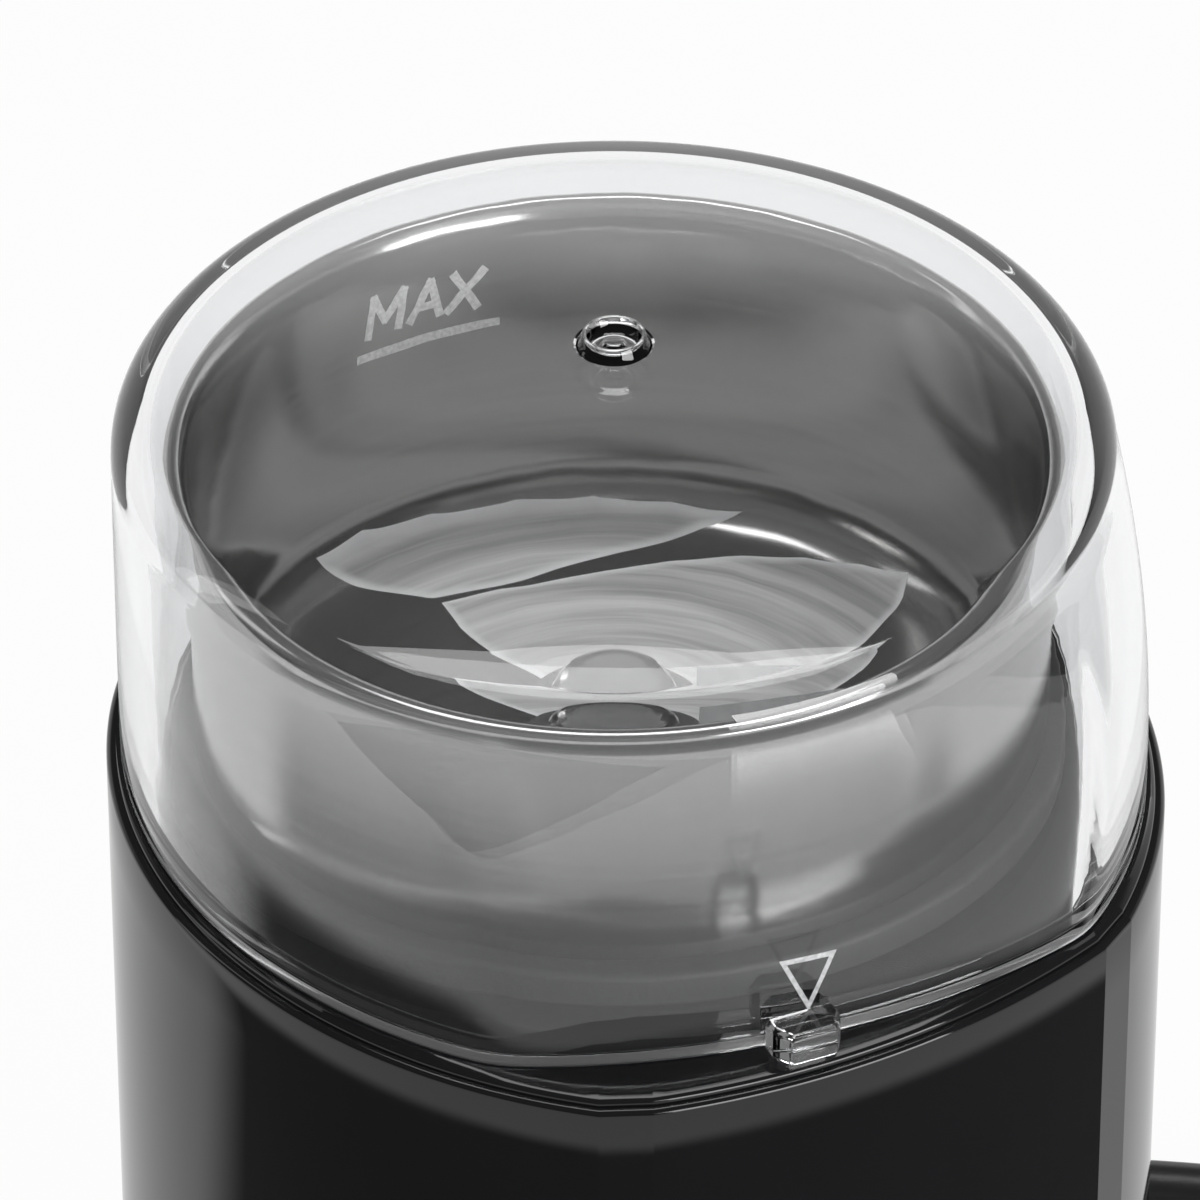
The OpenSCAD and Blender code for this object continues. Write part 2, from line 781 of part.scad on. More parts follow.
module button() {
    color("#c2c4c6") {
        intersection() {
            front_pill(button_w, button_h, -body_front - button_out - 1, flange_y);
            bowed_front(button_out);
        }
        intersection() {
            front_pill(button_w + 2 * flange_grow, button_h + 2 * flange_grow, wall_in_y - 1, flange_y);
            body_prism(wall + flange_gap, button_z - button_h, button_z + button_h);
        }
        along_y(stem_r, flange_y - eps, stem_end_y);
    }
}

module button_guide() {
    half_w = button_w / 2 + guide_more_w;
    low_z = button_z - button_h / 2 - guide_more_h;
    top_z = button_z + button_h / 2 + guide_more_h;
    color("#3a3a3a") difference() {
        union() {
            block([-half_w, guide_y, low_z], [half_w, guide_y + guide_t, top_z]);
            intersection() {
                for (s = [-1, 1]) translate([s * (half_w - guide_t), 0, 0])
                    block([-guide_t, -body_front, low_z], [guide_t, guide_y + eps, top_z]);
                body_prism(wall, low_z, top_z);
            }
        }
        along_y(stem_r + run, guide_y - 1, guide_y + guide_t + 1);
    }
}

module button_spring() {
    color("#c4c6c8") translate([0, flange_y, button_z]) rotate([-90, 0, 0])
        spring(stem_r + 1, 0.4, guide_y - flange_y, 4);
}

module switch_plunger() {
    color("#d8d4c6") along_y(plunger_r, stem_end_y, stem_end_y + plunger_l);
}

module switch_body() {
    color("#303236") difference() {
        block([-switch_size[0] / 2, switch_y, button_z - switch_size[2] / 2],
            [switch_size[0] / 2, switch_y + switch_size[1], button_z + switch_size[2] / 2]);
        along_y(plunger_r + run, switch_y - 1, switch_y + switch_size[1] - 2);
    }
}

module switch_bracket() {
    back_y = switch_y + switch_size[1];
    color("#9ea3a6") block([-switch_size[0] / 2 - 2, back_y, button_z - switch_size[2] / 2 - 2],
        [switch_size[0] / 2 + 2, back_y + 1.5, deck_floor_z]);
}

// ---- Lid interlock ----

pin_y = -lid_reach + lid_wall / 2 + 0.2;
pin_collar_r = pin_r + 1;
pin_collar_h = 1.5;
pin_collar_z = spigot_z - pin_travel - 0.2 - pin_collar_h;
pin_guide_z = pin_collar_z - 7;
pin_guide_t = 1.6;

module at_pin() {
    translate([0, pin_y, 0]) children();
}

module interlock_pin() {
    color("#d8d4c6") at_pin() {
        rod(pin_r, pin_guide_z - pin_guide_t - 1, deck_z);
        rod(pin_collar_r, pin_collar_z, pin_collar_z + pin_collar_h);
    }
}

module interlock_spring() {
    color("#c4c6c8") at_pin() translate([0, 0, pin_guide_z])
        spring(pin_r + 0.6, 0.3, pin_collar_z - pin_guide_z, 5);
}

module interlock_guide() {
    half_d = pin_collar_r + 0.2;
    low_z = pin_guide_z - pin_guide_t;
    color("#3a3a3a") difference() {
        intersection() {
            at_pin() {
                block([-7, -half_d, low_z], [7, half_d, pin_guide_z]);
                for (s = [-1, 1]) translate([s * 6, 0, 0])
                    block([-1, -half_d, low_z], [1, half_d, spigot_z]);
            }
            body_prism(wall + fit_gap, low_z - 1, spigot_z + 1);
        }
        at_pin() rod(pin_r + run, low_z - 1, pin_guide_z + 1);
    }
}

// ---- Wiring ----

block_size = [22, 12];
block_y = 2;
block_top_z = relief_z + 5;
clamp_y = 24;

module terminal_block() {
    color("#e6e2d4") block([-block_size[0] / 2, block_y, base_z],
        [block_size[0] / 2, block_y + block_size[1], block_top_z]);
}

module inner_lead() {
    color("#1a1a1a") along_back(block_y + block_size[1], relief_z)
        cylinder(d = cord_d, h = relief_back_y - block_y - block_size[1]);
}

module cord_clamp() {
    color("#3a3a3a") difference() {
        block([-9, clamp_y, base_z], [9, clamp_y + 7, relief_z + cord_d / 2 + 2]);
        along_back(clamp_y - 1, relief_z) cylinder(d = cord_d, h = 9);
    }
}

lead_r = 1.1;
lead_y = switch_y + switch_size[1] / 2;
lead_route = [[4, 8, block_top_z], [4, 8, block_top_z + 3], [5, 3, 25], [9, -10, 34], [12, -22, 46],
    [13, -29, 62], [13, -31, 84], [9, lead_y, switch_low_z - 11], [5, lead_y, switch_low_z - 4],
    [5, lead_y, switch_low_z]];

// Two leads climb from the terminal block, past the motor's front, to the switch
module switch_leads() {
    color("#6b4a2b") for (s = [-1, 1])
        sweep([for (p = lead_route) [s * p[0], p[1], p[2]]], lead_r, 8, [1, 0, 0]);
}

// ---- Strain relief, lead and plug ----

relief_neck_r = 4.2;
relief_back_y = body_back - wall - 1.5;

module strain_relief() {
    tip_r = cord_d / 2 + 0.7;
    color("#171717") difference() {
        union() {
            along_back(relief_back_y, relief_z)
                cylinder(r = relief_neck_r, h = body_back + 1 - relief_back_y);
            difference() {
                along_back(body_back - 2, relief_z) cylinder(r = relief_r + 1.6, h = 3.6);
                body_prism(0, relief_z - 9, relief_z + 9);
            }
            along_back(body_back + 1, relief_z) cylinder(r1 = relief_r, r2 = tip_r, h = relief_l - 1);
            intersection() {
                along_back(relief_back_y, relief_z) cylinder(r = relief_neck_r + 1.4, h = 6);
                body_prism(wall, relief_z - 9, relief_z + 9);
            }
        }
        for (i = [0:4]) along_back(body_back + 6 + 4 * i, relief_z) difference() {
            cylinder(r = relief_r + 1, h = 1.2);
            cylinder(r = cord_d / 2 + 0.6, h = 1.2);
        }
    }
}

// The lead's way over the table from the strain relief to its coil
cord_route = [[0, 72, 12], [0, 76, 11.8], [0.3, 81, 11], [1.6, 86.3, 9.4], [4, 91.3, 7],
    [7.7, 96, 4.7], [12.3, 99.8, 3.5], [18.6, 102.8, 3.1], [26.4, 104.2, 3.1], [37, 102.9, 3.1],
    [50.5, 98.9, 3.1], [65.9, 92.8, 3.1], [80.5, 86.2, 3.1], [95, 79.2, 3.1], [107.1, 71.1, 3.1],
    [116.2, 60, 3.1], [122.4, 46.7, 3.1], [126, 32.1, 3.1], [127.1, 17, 3.1]];
coil_centre = [90, 17];
// Radius at the middle of the coil's outer turns
coil_turn_r = 34;
// The lead's way from the coil to its plug
tail_route = [[124, 13, 8.5], [124.4, 3, 8], [124.8, -7, 5.8], [125, -16, 4.2], [125, -23, 4.6],
    [125, -27, 5]];
plug_at = [125, -27];

module mains_cord() {
    color("#171717") sweep(cord_route, cord_d / 2, 8, [0, 0, 1]);
}

module cord_coil() {
    half = cord_d / 2;
    lift = cord_d * sqrt(3) / 2;
    color("#171717") translate([coil_centre[0], coil_centre[1], 0]) rotate_extrude()
        polygon([[coil_turn_r - cord_d, 0], [coil_turn_r + cord_d, 0], [coil_turn_r + cord_d, cord_d],
            [coil_turn_r + half, lift + cord_d], [coil_turn_r - half, lift + cord_d],
            [coil_turn_r - cord_d, cord_d]]);
}

module cord_tail() {
    color("#171717") sweep(tail_route, cord_d / 2, 8, [0, 0, 1]);
}

plug_w = 22;
plug_h = 14;
plug_l = 26;
pin_span = 12.7;

module plug_body() {
    color("#171717") translate([plug_at[0], plug_at[1], plug_h / 2]) rotate([90, 0, 0]) {
        translate([0, 0, 8]) linear_extrude(plug_l - 8) {
            square([plug_w - plug_h, plug_h], center = true);
            for (s = [-1, 1]) translate([s * (plug_w - plug_h) / 2, 0]) circle(d = plug_h);
        }
        translate([0, 5 - plug_h / 2, 0]) cylinder(r = cord_d / 2 + 1, h = 9);
    }
}

module plug_pins() {
    color("#b9bbbd") for (s = [-1, 1])
        translate([plug_at[0] + s * pin_span / 2, plug_at[1] - plug_l, plug_h / 2])
            block([-0.75, -16, -3.1], [0.75, 0, 3.1]);
}

placed() housing();
placed() top_deck();
placed() base_plate();
placed() rubber_feet();
placed() base_screws();
placed() deck_screws();
placed() bowl();
placed() bowl_gasket();
placed() shaft_seal();
placed() upper_bracket();
placed() lower_bracket();
placed() upper_bush();
placed() lower_bush();
placed() motor_dampers();
placed() motor_screws();
placed() stator_core();
placed() field_coils();
placed() brush_holders();
placed() carbon_brushes();
placed() brush_springs();
placed() motor_shaft();
placed() armature_core();
placed() armature_windings();
placed() commutator();
placed() cooling_fan();
placed() blade();
placed() blade_nut();
placed() lid();
placed() button();
placed() button_guide();
placed() button_spring();
placed() switch_plunger();
placed() switch_body();
placed() switch_bracket();
placed() interlock_pin();
placed() interlock_spring();
placed() interlock_guide();
placed() terminal_block();
placed() inner_lead();
placed() switch_leads();
placed() cord_clamp();
placed() strain_relief();
placed() mains_cord();
placed() cord_coil();
placed() cord_tail();
placed() plug_body();
placed() plug_pins();
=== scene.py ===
"""The looks of the electric spice grinder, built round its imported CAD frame."""

import json
import math

import bmesh
import bpy
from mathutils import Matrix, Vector


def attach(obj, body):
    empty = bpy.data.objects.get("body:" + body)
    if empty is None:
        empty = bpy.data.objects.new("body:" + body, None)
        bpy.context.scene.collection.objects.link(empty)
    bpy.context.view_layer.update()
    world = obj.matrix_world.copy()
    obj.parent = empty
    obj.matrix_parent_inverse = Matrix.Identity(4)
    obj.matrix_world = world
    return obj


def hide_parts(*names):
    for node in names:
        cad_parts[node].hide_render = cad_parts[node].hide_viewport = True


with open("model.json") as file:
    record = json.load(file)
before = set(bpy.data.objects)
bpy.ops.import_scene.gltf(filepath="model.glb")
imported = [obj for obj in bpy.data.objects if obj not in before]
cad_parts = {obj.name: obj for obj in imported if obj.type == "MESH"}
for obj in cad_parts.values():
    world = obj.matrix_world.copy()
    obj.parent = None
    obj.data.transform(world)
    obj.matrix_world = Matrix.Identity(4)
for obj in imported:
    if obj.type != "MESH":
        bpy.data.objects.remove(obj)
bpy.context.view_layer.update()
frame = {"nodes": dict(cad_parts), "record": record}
nodes = frame["nodes"]

MM = 0.001
AXIS_Y = 4.9            # the motor's axis behind the footprint's middle, in mm
DECK_Z = 147.0
RIM_Z = 146.0
SKIRT_Z = 2.0

# ---------------------------------------------------------------- camera

CAM_TURN = math.radians(23.6)
CAM_RISE = math.radians(37.0)
CAM_DISTANCE = 900.0
AIM = Vector((0.0, AXIS_Y, DECK_Z))
toward_camera = Vector((-math.cos(CAM_RISE) * math.sin(CAM_TURN),
                        -math.cos(CAM_RISE) * math.cos(CAM_TURN), math.sin(CAM_RISE)))
cam_data = bpy.data.cameras.new("camera")
cam = bpy.data.objects.new("camera", cam_data)
bpy.context.scene.collection.objects.link(cam)
bpy.context.scene.camera = cam
cam.location = (AIM + toward_camera * CAM_DISTANCE) * MM
cam.rotation_mode = "QUATERNION"
cam.rotation_quaternion = (-toward_camera).to_track_quat("-Z", "Y")
cam_data.sensor_width = 36.0
cam_data.lens = 315.0
cam_data.shift_x = -14.0 / 1200.0
cam_data.shift_y = 118.0 / 1200.0
cam_data.clip_start = 0.01
cam_data.clip_end = 20.0

# ---------------------------------------------------------------- materials


class Tree:
    """Short calls for a material's nodes."""

    def __init__(self, name):
        self.mat = bpy.data.materials.new(name)
        self.mat.use_nodes = True
        self.t = self.mat.node_tree
        self.t.nodes.clear()
        self.out = self.t.nodes.new("ShaderNodeOutputMaterial")

    def node(self, kind, **values):
        n = self.t.nodes.new("ShaderNode" + kind)
        for key, value in values.items():
            if hasattr(n, key):
                setattr(n, key, value)
            else:
                self.put(n.inputs[key.replace("_", " ")], value)
        return n

    def put(self, socket, value):
        if isinstance(value, bpy.types.NodeSocket):
            self.t.links.new(value, socket)
        else:
            socket.default_value = value

    def link(self, a, b):
        self.t.links.new(a, b)

    def math(self, operation, a, b=None, c=None):
        n = self.t.nodes.new("ShaderNodeMath")
        n.operation = operation
        for socket, value in zip(n.inputs, (a, b, c)):
            if value is not None:
                self.put(socket, value)
        return n.outputs[0]

    def ramp(self, value, low, high):
        """value from 0 to 1 mapped to low..high."""
        n = self.t.nodes.new("ShaderNodeMapRange")
        self.put(n.inputs["Value"], value)
        n.inputs["From Min"].default_value = 0.3
        n.inputs["From Max"].default_value = 0.7
        n.inputs["To Min"].default_value = low
        n.inputs["To Max"].default_value = high
        return n.outputs[0]

    def mix_color(self, fac, a, b):
        n = self.t.nodes.new("ShaderNodeMix")
        n.data_type = "RGBA"
        self.put(n.inputs[0], fac)
        self.put(n.inputs[6], a)
        self.put(n.inputs[7], b)
        return n.outputs[2]

    def noise(self, scale, detail=3.0, vector=None, rough=0.5):
        n = self.t.nodes.new("ShaderNodeTexNoise")
        n.inputs["Scale"].default_value = scale
        n.inputs["Detail"].default_value = detail
        n.inputs["Roughness"].default_value = rough
        self.link(vector if vector is not None else self.place(), n.inputs["Vector"])
        return n.outputs["Fac"]

    def place(self):
        if not hasattr(self, "_place"):
            self._place = self.t.nodes.new("ShaderNodeTexCoord").outputs["Object"]
        return self._place

    def bump(self, height, strength, distance):
        n = self.t.nodes.new("ShaderNodeBump")
        n.inputs["Strength"].default_value = strength
        n.inputs["Distance"].default_value = distance
        self.put(n.inputs["Height"], height)
        return n.outputs["Normal"]

    def polar(self, stretch):
        """A vector that runs fast across rings round the motor's axis and slowly along them."""
        xyz = self.node("SeparateXYZ")
        self.link(self.place(), xyz.inputs[0])
        x = xyz.outputs[0]
        y = self.math("SUBTRACT", xyz.outputs[1], AXIS_Y * MM)
        radius = self.math("SQRT", self.math("ADD", self.math("MULTIPLY", x, x), self.math("MULTIPLY", y, y)))
        angle = self.math("ARCTAN2", y, x)
        both = self.node("CombineXYZ")
        self.link(self.math("MULTIPLY", radius, stretch), both.inputs[0])
        self.link(self.math("MULTIPLY", xyz.outputs[2], stretch), both.inputs[1])
        self.link(self.math("MULTIPLY", angle, 0.6), both.inputs[2])
        return both.outputs[0]


def smooth_step(t, value, low, high, to_low=0.0, to_high=1.0):
    """A soft step in a node tree, from one value to another."""
    n = t.nodes.new("ShaderNodeMapRange")
    n.interpolation_type = "SMOOTHSTEP"
    t.links.new(value, n.inputs["Value"])
    n.inputs["From Min"].default_value = low
    n.inputs["From Max"].default_value = high
    n.inputs["To Min"].default_value = to_low
    n.inputs["To Max"].default_value = to_high
    return n.outputs[0]


def solid(name, color, rough, metal=0.0, spread=0.03, scale=60.0, bump=0.0, bump_scale=900.0, vary=0.12):
    """A moulded, cast or drawn surface: colour and roughness drift a little, with fine texture in its normal."""
    t = Tree(name)
    p = t.node("BsdfPrincipled")
    soft = t.noise(scale, 4.0)
    dark = tuple(c * (1 - vary) for c in color) + (1.0,)
    light = tuple(min(1.0, c * (1 + vary)) for c in color) + (1.0,)
    t.link(t.mix_color(soft, dark, light), p.inputs["Base Color"])
    t.link(t.ramp(soft, max(0.0, rough - spread), rough + spread), p.inputs["Roughness"])
    p.inputs["Metallic"].default_value = metal
    if bump:
        t.link(t.bump(t.noise(bump_scale, 3.0), bump, 0.0002), p.inputs["Normal"])
    t.link(p.outputs[0], t.out.inputs[0])
    return t.mat


def gloss_black(name="gloss_black_plastic"):
    """High gloss black plastic, with the faint orange peel of a polished moulding and a little dust."""
    t = Tree(name)
    p = t.node("BsdfPrincipled")
    drift = t.noise(35.0, 3.0)
    t.link(t.mix_color(drift, (0.0045, 0.0045, 0.005, 1), (0.008, 0.008, 0.0088, 1)), p.inputs["Base Color"])
    t.link(t.ramp(t.noise(160.0, 5.0), 0.035, 0.075), p.inputs["Roughness"])
    p.inputs["Specular IOR Level"].default_value = 0.42
    t.link(t.bump(t.noise(90.0, 2.0), 0.008, 0.0006), p.inputs["Normal"])
    t.link(p.outputs[0], t.out.inputs[0])
    return t.mat


def clear_plastic(name="clear_plastic"):
    """Thick clear plastic. Shadow rays pass, so that what stands under the lid stays lit."""
    t = Tree(name)
    p = t.node("BsdfPrincipled")
    haze = t.noise(90.0, 4.0)
    t.link(t.mix_color(haze, (0.9, 0.905, 0.912, 1), (0.94, 0.944, 0.95, 1)), p.inputs["Base Color"])
    t.link(t.ramp(haze, 0.004, 0.018), p.inputs["Roughness"])
    p.inputs["IOR"].default_value = 1.53
    p.inputs["Transmission Weight"].default_value = 1.0
    t.link(t.bump(t.noise(75.0, 2.0), 0.05, 0.0006), p.inputs["Normal"])
    through = t.node("BsdfTransparent")
    through.inputs["Color"].default_value = (0.93, 0.94, 0.945, 1)
    path = t.node("LightPath")
    mix = t.node("MixShader")
    t.link(path.outputs["Is Shadow Ray"], mix.inputs[0])
    edge = t.node("BsdfTranslucent")
    edge.inputs["Color"].default_value = (0.95, 0.95, 0.95, 1)
    slant = t.node("LayerWeight")
    slant.inputs["Blend"].default_value = 0.5
    pale = t.node("MixShader")
    t.link(t.math("MULTIPLY", smooth_step(t.t, slant.outputs["Facing"], 0.86, 1.0), 0.55), pale.inputs[0])
    t.link(p.outputs[0], pale.inputs[1])
    t.link(edge.outputs[0], pale.inputs[2])
    t.link(pale.outputs[0], mix.inputs[1])
    t.link(through.outputs[0], mix.inputs[2])
    t.link(mix.outputs[0], t.out.inputs[0])
    return t.mat


def brushed_steel(name, color=(0.60, 0.595, 0.59), rough=0.2, stretch=1600.0, anisotropic=0.6,
                  bump=0.12):
    """Stainless steel brushed round the motor's axis."""
    t = Tree(name)
    p = t.node("BsdfPrincipled")
    lines = t.noise(1.0, 4.0, t.polar(stretch), 0.6)
    wide = t.noise(1.0, 2.0, t.polar(stretch / 9), 0.5)
    both = t.math("ADD", t.math("MULTIPLY", lines, 0.6), t.math("MULTIPLY", wide, 0.4))
    t.link(t.mix_color(both, tuple(c * 0.86 for c in color) + (1,), tuple(min(1, c * 1.12) for c in color) + (1,)),
           p.inputs["Base Color"])
    p.inputs["Metallic"].default_value = 1.0
    t.link(t.ramp(both, rough * 0.8, rough * 1.3), p.inputs["Roughness"])
    p.inputs["Anisotropic"].default_value = anisotropic
    p.inputs["Anisotropic Rotation"].default_value = 0.25
    tangent = t.node("Tangent", direction_type="RADIAL", axis="Z")
    t.link(tangent.outputs[0], p.inputs["Tangent"])
    t.link(t.bump(lines, bump, 0.00004), p.inputs["Normal"])
    t.link(p.outputs[0], t.out.inputs[0])
    return t.mat


def etched(name, color, share):
    """A frosted or etched mark that lets some of what is under it through."""
    t = Tree(name)
    p = t.node("BsdfPrincipled")
    grain = t.noise(2600.0, 4.0)
    t.link(t.mix_color(grain, tuple(c * 0.8 for c in color) + (1,), tuple(min(1, c * 1.15) for c in color) + (1,)),
           p.inputs["Base Color"])
    t.link(t.ramp(grain, 0.45, 0.75), p.inputs["Roughness"])
    t.link(t.ramp(grain, share - 0.15, share + 0.1), p.inputs["Alpha"])
    t.link(t.bump(grain, 0.3, 0.00005), p.inputs["Normal"])
    t.link(p.outputs[0], t.out.inputs[0])
    return t.mat


MATS = {
    "black_gloss": gloss_black(),
    "black_matte": solid("black_matte_plastic", (0.02, 0.02, 0.021), 0.42, bump=0.25),
    "rubber": solid("black_rubber", (0.018, 0.018, 0.018), 0.6, bump=0.35, spread=0.06),
    "zinc": solid("zinc_plate", (0.62, 0.63, 0.64), 0.28, metal=1.0, bump=0.08),
    "aluminium": solid("cast_aluminium", (0.62, 0.63, 0.64), 0.38, metal=1.0, bump=0.3, bump_scale=500.0),
    "bronze": solid("sintered_bronze", (0.42, 0.27, 0.12), 0.45, metal=1.0, bump=0.4, bump_scale=1800.0),
    "laminations": solid("electrical_steel", (0.2, 0.21, 0.22), 0.4, metal=0.8, bump=0.2),
    "copper": solid("enamelled_copper", (0.55, 0.2, 0.07), 0.3, metal=0.9, bump=0.4, bump_scale=1500.0),
    "brass": solid("brass", (0.62, 0.45, 0.17), 0.25, metal=1.0, bump=0.08),
    "carbon": solid("carbon", (0.03, 0.03, 0.032), 0.5, bump=0.3, bump_scale=2500.0),
    "bright_steel": brushed_steel("ground_steel", (0.66, 0.66, 0.66), 0.16, 700.0, 0.2, 0.03),
    "brushed_steel": brushed_steel("brushed_bowl_steel", (0.47, 0.465, 0.46), 0.16, anisotropic=0.25, bump=0.02),
    "cream_plastic": solid("cream_plastic", (0.7, 0.66, 0.55), 0.4, bump=0.1),
    "clear_plastic": clear_plastic(),
    "silver_plastic": solid("silver_plastic", (0.5, 0.505, 0.51), 0.24, metal=0.75, bump=0.06, bump_scale=2500.0),
    "lead_sheath": solid("lead_sheath", (0.012, 0.012, 0.0125), 0.36, bump=0.1, bump_scale=1500.0),
    "brown_wire": solid("brown_wire", (0.16, 0.06, 0.025), 0.4, bump=0.1),
    "nickel": solid("nickel_plate", (0.72, 0.7, 0.66), 0.2, metal=1.0, bump=0.05),
}
for row in frame["record"]["subparts"]:
    obj = nodes[row["node"]]
    obj.data.materials.clear()
    obj.data.materials.append(MATS[row["material_slot"]])

# ---------------------------------------------------------------- mesh helpers


def piece(name, verts, faces, slot, smooth=True, mat=None):
    """A mesh of the object, with points in mm."""
    me = bpy.data.meshes.new(name)
    me.from_pydata([(x * MM, y * MM, z * MM) for x, y, z in verts], [], faces)
    me.validate()
    bm = bmesh.new()
    bm.from_mesh(me)
    bmesh.ops.recalc_face_normals(bm, faces=bm.faces)
    bm.to_mesh(me)
    bm.free()
    obj = bpy.data.objects.new(name, me)
    bpy.context.scene.collection.objects.link(obj)
    me.materials.append(mat or MATS[slot])
    for p in me.polygons:
        p.use_smooth = smooth
    return obj


def loft(rings, loop=False):
    """(verts, faces) of a skin over rings of as many points each, closed by caps or, with loop, onto itself."""
    n = len(rings[0])
    verts = [p for ring in rings for p in ring]
    faces = []
    count = len(rings)
    for j in range(count if loop else count - 1):
        a0, b0 = j * n, ((j + 1) % count) * n
        for k in range(n):
            k1 = (k + 1) % n
            faces.append((a0 + k, a0 + k1, b0 + k1, b0 + k))
    if not loop:
        faces.append(tuple(range(n - 1, -1, -1)))
        faces.append(tuple((count - 1) * n + k for k in range(n)))
    return verts, faces


def lathe(name, profile, slot, n):
    """A solid of revolution round the motor's axis from a closed profile of (radius, z)."""
    rings = []
    for r, z in profile:
        rings.append([(r * math.sin(2 * math.pi * k / n), AXIS_Y - r * math.cos(2 * math.pi * k / n), z)
                      for k in range(n)])
    return piece(name, *loft(rings, loop=True), slot)


def arc(cx, cz, r, a0, a1, steps):
    """Points of an arc, in degrees."""
    return [(cx + r * math.cos(math.radians(a0 + (a1 - a0) * i / steps)),
             cz + r * math.sin(math.radians(a0 + (a1 - a0) * i / steps))) for i in range(steps + 1)]


def sharpen(obj, degrees=30.0):
    """Edges steeper than an angle shade as edges."""
    obj.data.set_sharp_from_angle(angle=math.radians(degrees))


def crease(obj):
    """Edges that run up or in along a corner face's sides shade as edges."""
    me = obj.data
    turns = []
    for v in me.vertices:
        a = math.atan2(v.co.x, AXIS_Y * MM - v.co.y) % (2 * math.pi)
        turns.append(any(abs(a - c) < 1e-4 for pair in CORNERS for c in pair))
    for e in me.edges:
        if turns[e.vertices[0]] and turns[e.vertices[1]]:
            p, q = (me.vertices[i].co for i in e.vertices)
            if (math.atan2(p.x, AXIS_Y * MM - p.y) - math.atan2(q.x, AXIS_Y * MM - q.y)) ** 2 < 1e-6:
                e.use_edge_sharp = True


def bevel(obj, width, segments, degrees):
    """Rounds the edges steeper than an angle, by a width in mm."""
    m = obj.modifiers.new("bevel", "BEVEL")
    m.width = width * MM
    m.segments = segments
    m.limit_method = "ANGLE"
    m.angle_limit = math.radians(degrees)
    m.harden_normals = False


# ---------------------------------------------------------------- outline of the lid and the housing

BACK_R, SIDE_TURN, FRONT_R, FRONT = 42.3, math.radians(116), 72.0, 46.8
LID_SIDE_MORE, LID_FRONT_SHIFT, LID_SOFT = 8.7, 2.5, 0.7
BODY_SIDE_MORE, BODY_FRONT_SHIFT = 9.7, -4.3
LEDGE_SIDE, LEDGE_FRONT = 1.2, 3.6
FRONT_CY = FRONT_R - FRONT


def side_polar(a, inset, more):
    """Radius of the round back and of the wider bowed sides at an angle from the front."""
    b = 2 * math.pi - a if a > math.pi else a
    if b >= SIDE_TURN:
        return BACK_R - inset
    c = math.cos(b - SIDE_TURN) * more
    return -c + math.sqrt(c * c + (BACK_R + more - inset) ** 2 - more ** 2)


def front_polar(a, inset, shift):
    """Radius of the bowed front at an angle from the front."""
    c = FRONT_CY * math.cos(a) - shift * math.sin(a)
    return -c + math.sqrt(c * c + (FRONT_R - inset) ** 2 - FRONT_CY ** 2 - shift ** 2)


def soft_min(p, q, soft):
    """The lesser of two values, rounded where they cross."""
    return (p + q - math.sqrt((p - q) ** 2 + soft * soft)) / 2


CORNERS = ((math.radians(30), math.radians(35)), (math.radians(335), math.radians(340)))


def body_r(a, inset):
    """The housing's outline, with a narrow flat face on each of its front corners."""
    for low, high in CORNERS:
        if low < a < high:
            p, q = body_r(low, inset), body_r(high, inset)
            return p * q * math.sin(high - low) / (p * math.sin(a - low) + q * math.sin(high - a))
    return min(side_polar(a, inset - LEDGE_SIDE, BODY_SIDE_MORE),
               front_polar(a, inset - LEDGE_FRONT, BODY_FRONT_SHIFT))


def lid_r(a, rise, inset):
    """The lid's outline, which runs from its foot's shape to a circle as it rises from 0 to 1."""
    back = BACK_R - inset
    side = side_polar(a, inset, LID_SIDE_MORE)
    front = front_polar(a, inset, LID_FRONT_SHIFT)
    return soft_min(side + (back - side) * rise ** 3, front + (back - front) * rise ** 2, LID_SOFT * (1 - rise))


def plan_ring(radius_of, z, n=288):
    """A ring of points from a polar radius in mm, from the front round by the right."""
    ring = []
    for k in range(n):
        a = 2 * math.pi * k / n
        r = radius_of(a)
        ring.append((r * math.sin(a), AXIS_Y - r * math.cos(a), z))
    return ring


# ---------------------------------------------------------------- lead

CORD_R = 3.1
COIL = (90.0, 17.0)
ROUTE = [(0, 72, 12), (0, 76, 11.8), (0.3, 81, 11), (1.6, 86.3, 9.4), (4, 91.3, 7), (7.7, 96, 4.7),
         (12.3, 99.8, 3.5), (18.6, 102.8, 3.1), (26.4, 104.2, 3.1), (37, 102.9, 3.1), (50.5, 98.9, 3.1),
         (65.9, 92.8, 3.1), (80.5, 86.2, 3.1), (95, 79.2, 3.1), (107.1, 71.1, 3.1), (116.2, 60, 3.1),
         (122.4, 46.7, 3.1), (126, 32.1, 3.1), (127.1, 17, 3.1)]
TAIL = [(124.6, 9, 9.0), (124.9, 3, 9.3), (125.1, -3, 9.0), (125.2, -9, 7.2), (125.1, -16, 5.6), (125, -23, 5),
        (125, -27, 5)]


def spline(points, steps=5):
    """A smooth line through points, as Catmull and Rom's."""
    p = [Vector(q) for q in points]
    p = [2 * p[0] - p[1]] + p + [2 * p[-1] - p[-2]]
    line = []
    for i in range(1, len(p) - 2):
        a, b, c, d = p[i - 1:i + 3]
        for s in range(steps):
            t = s / steps
            line.append(0.5 * (2 * b + (c - a) * t + (2 * a - 5 * b + 4 * c - d) * t * t
                               + (3 * b - a - 3 * c + d) * t ** 3))
    line.append(p[-2])
    return line


def ease(x):
    x = min(1.0, max(0.0, x))
    return x * x * (3 - 2 * x)


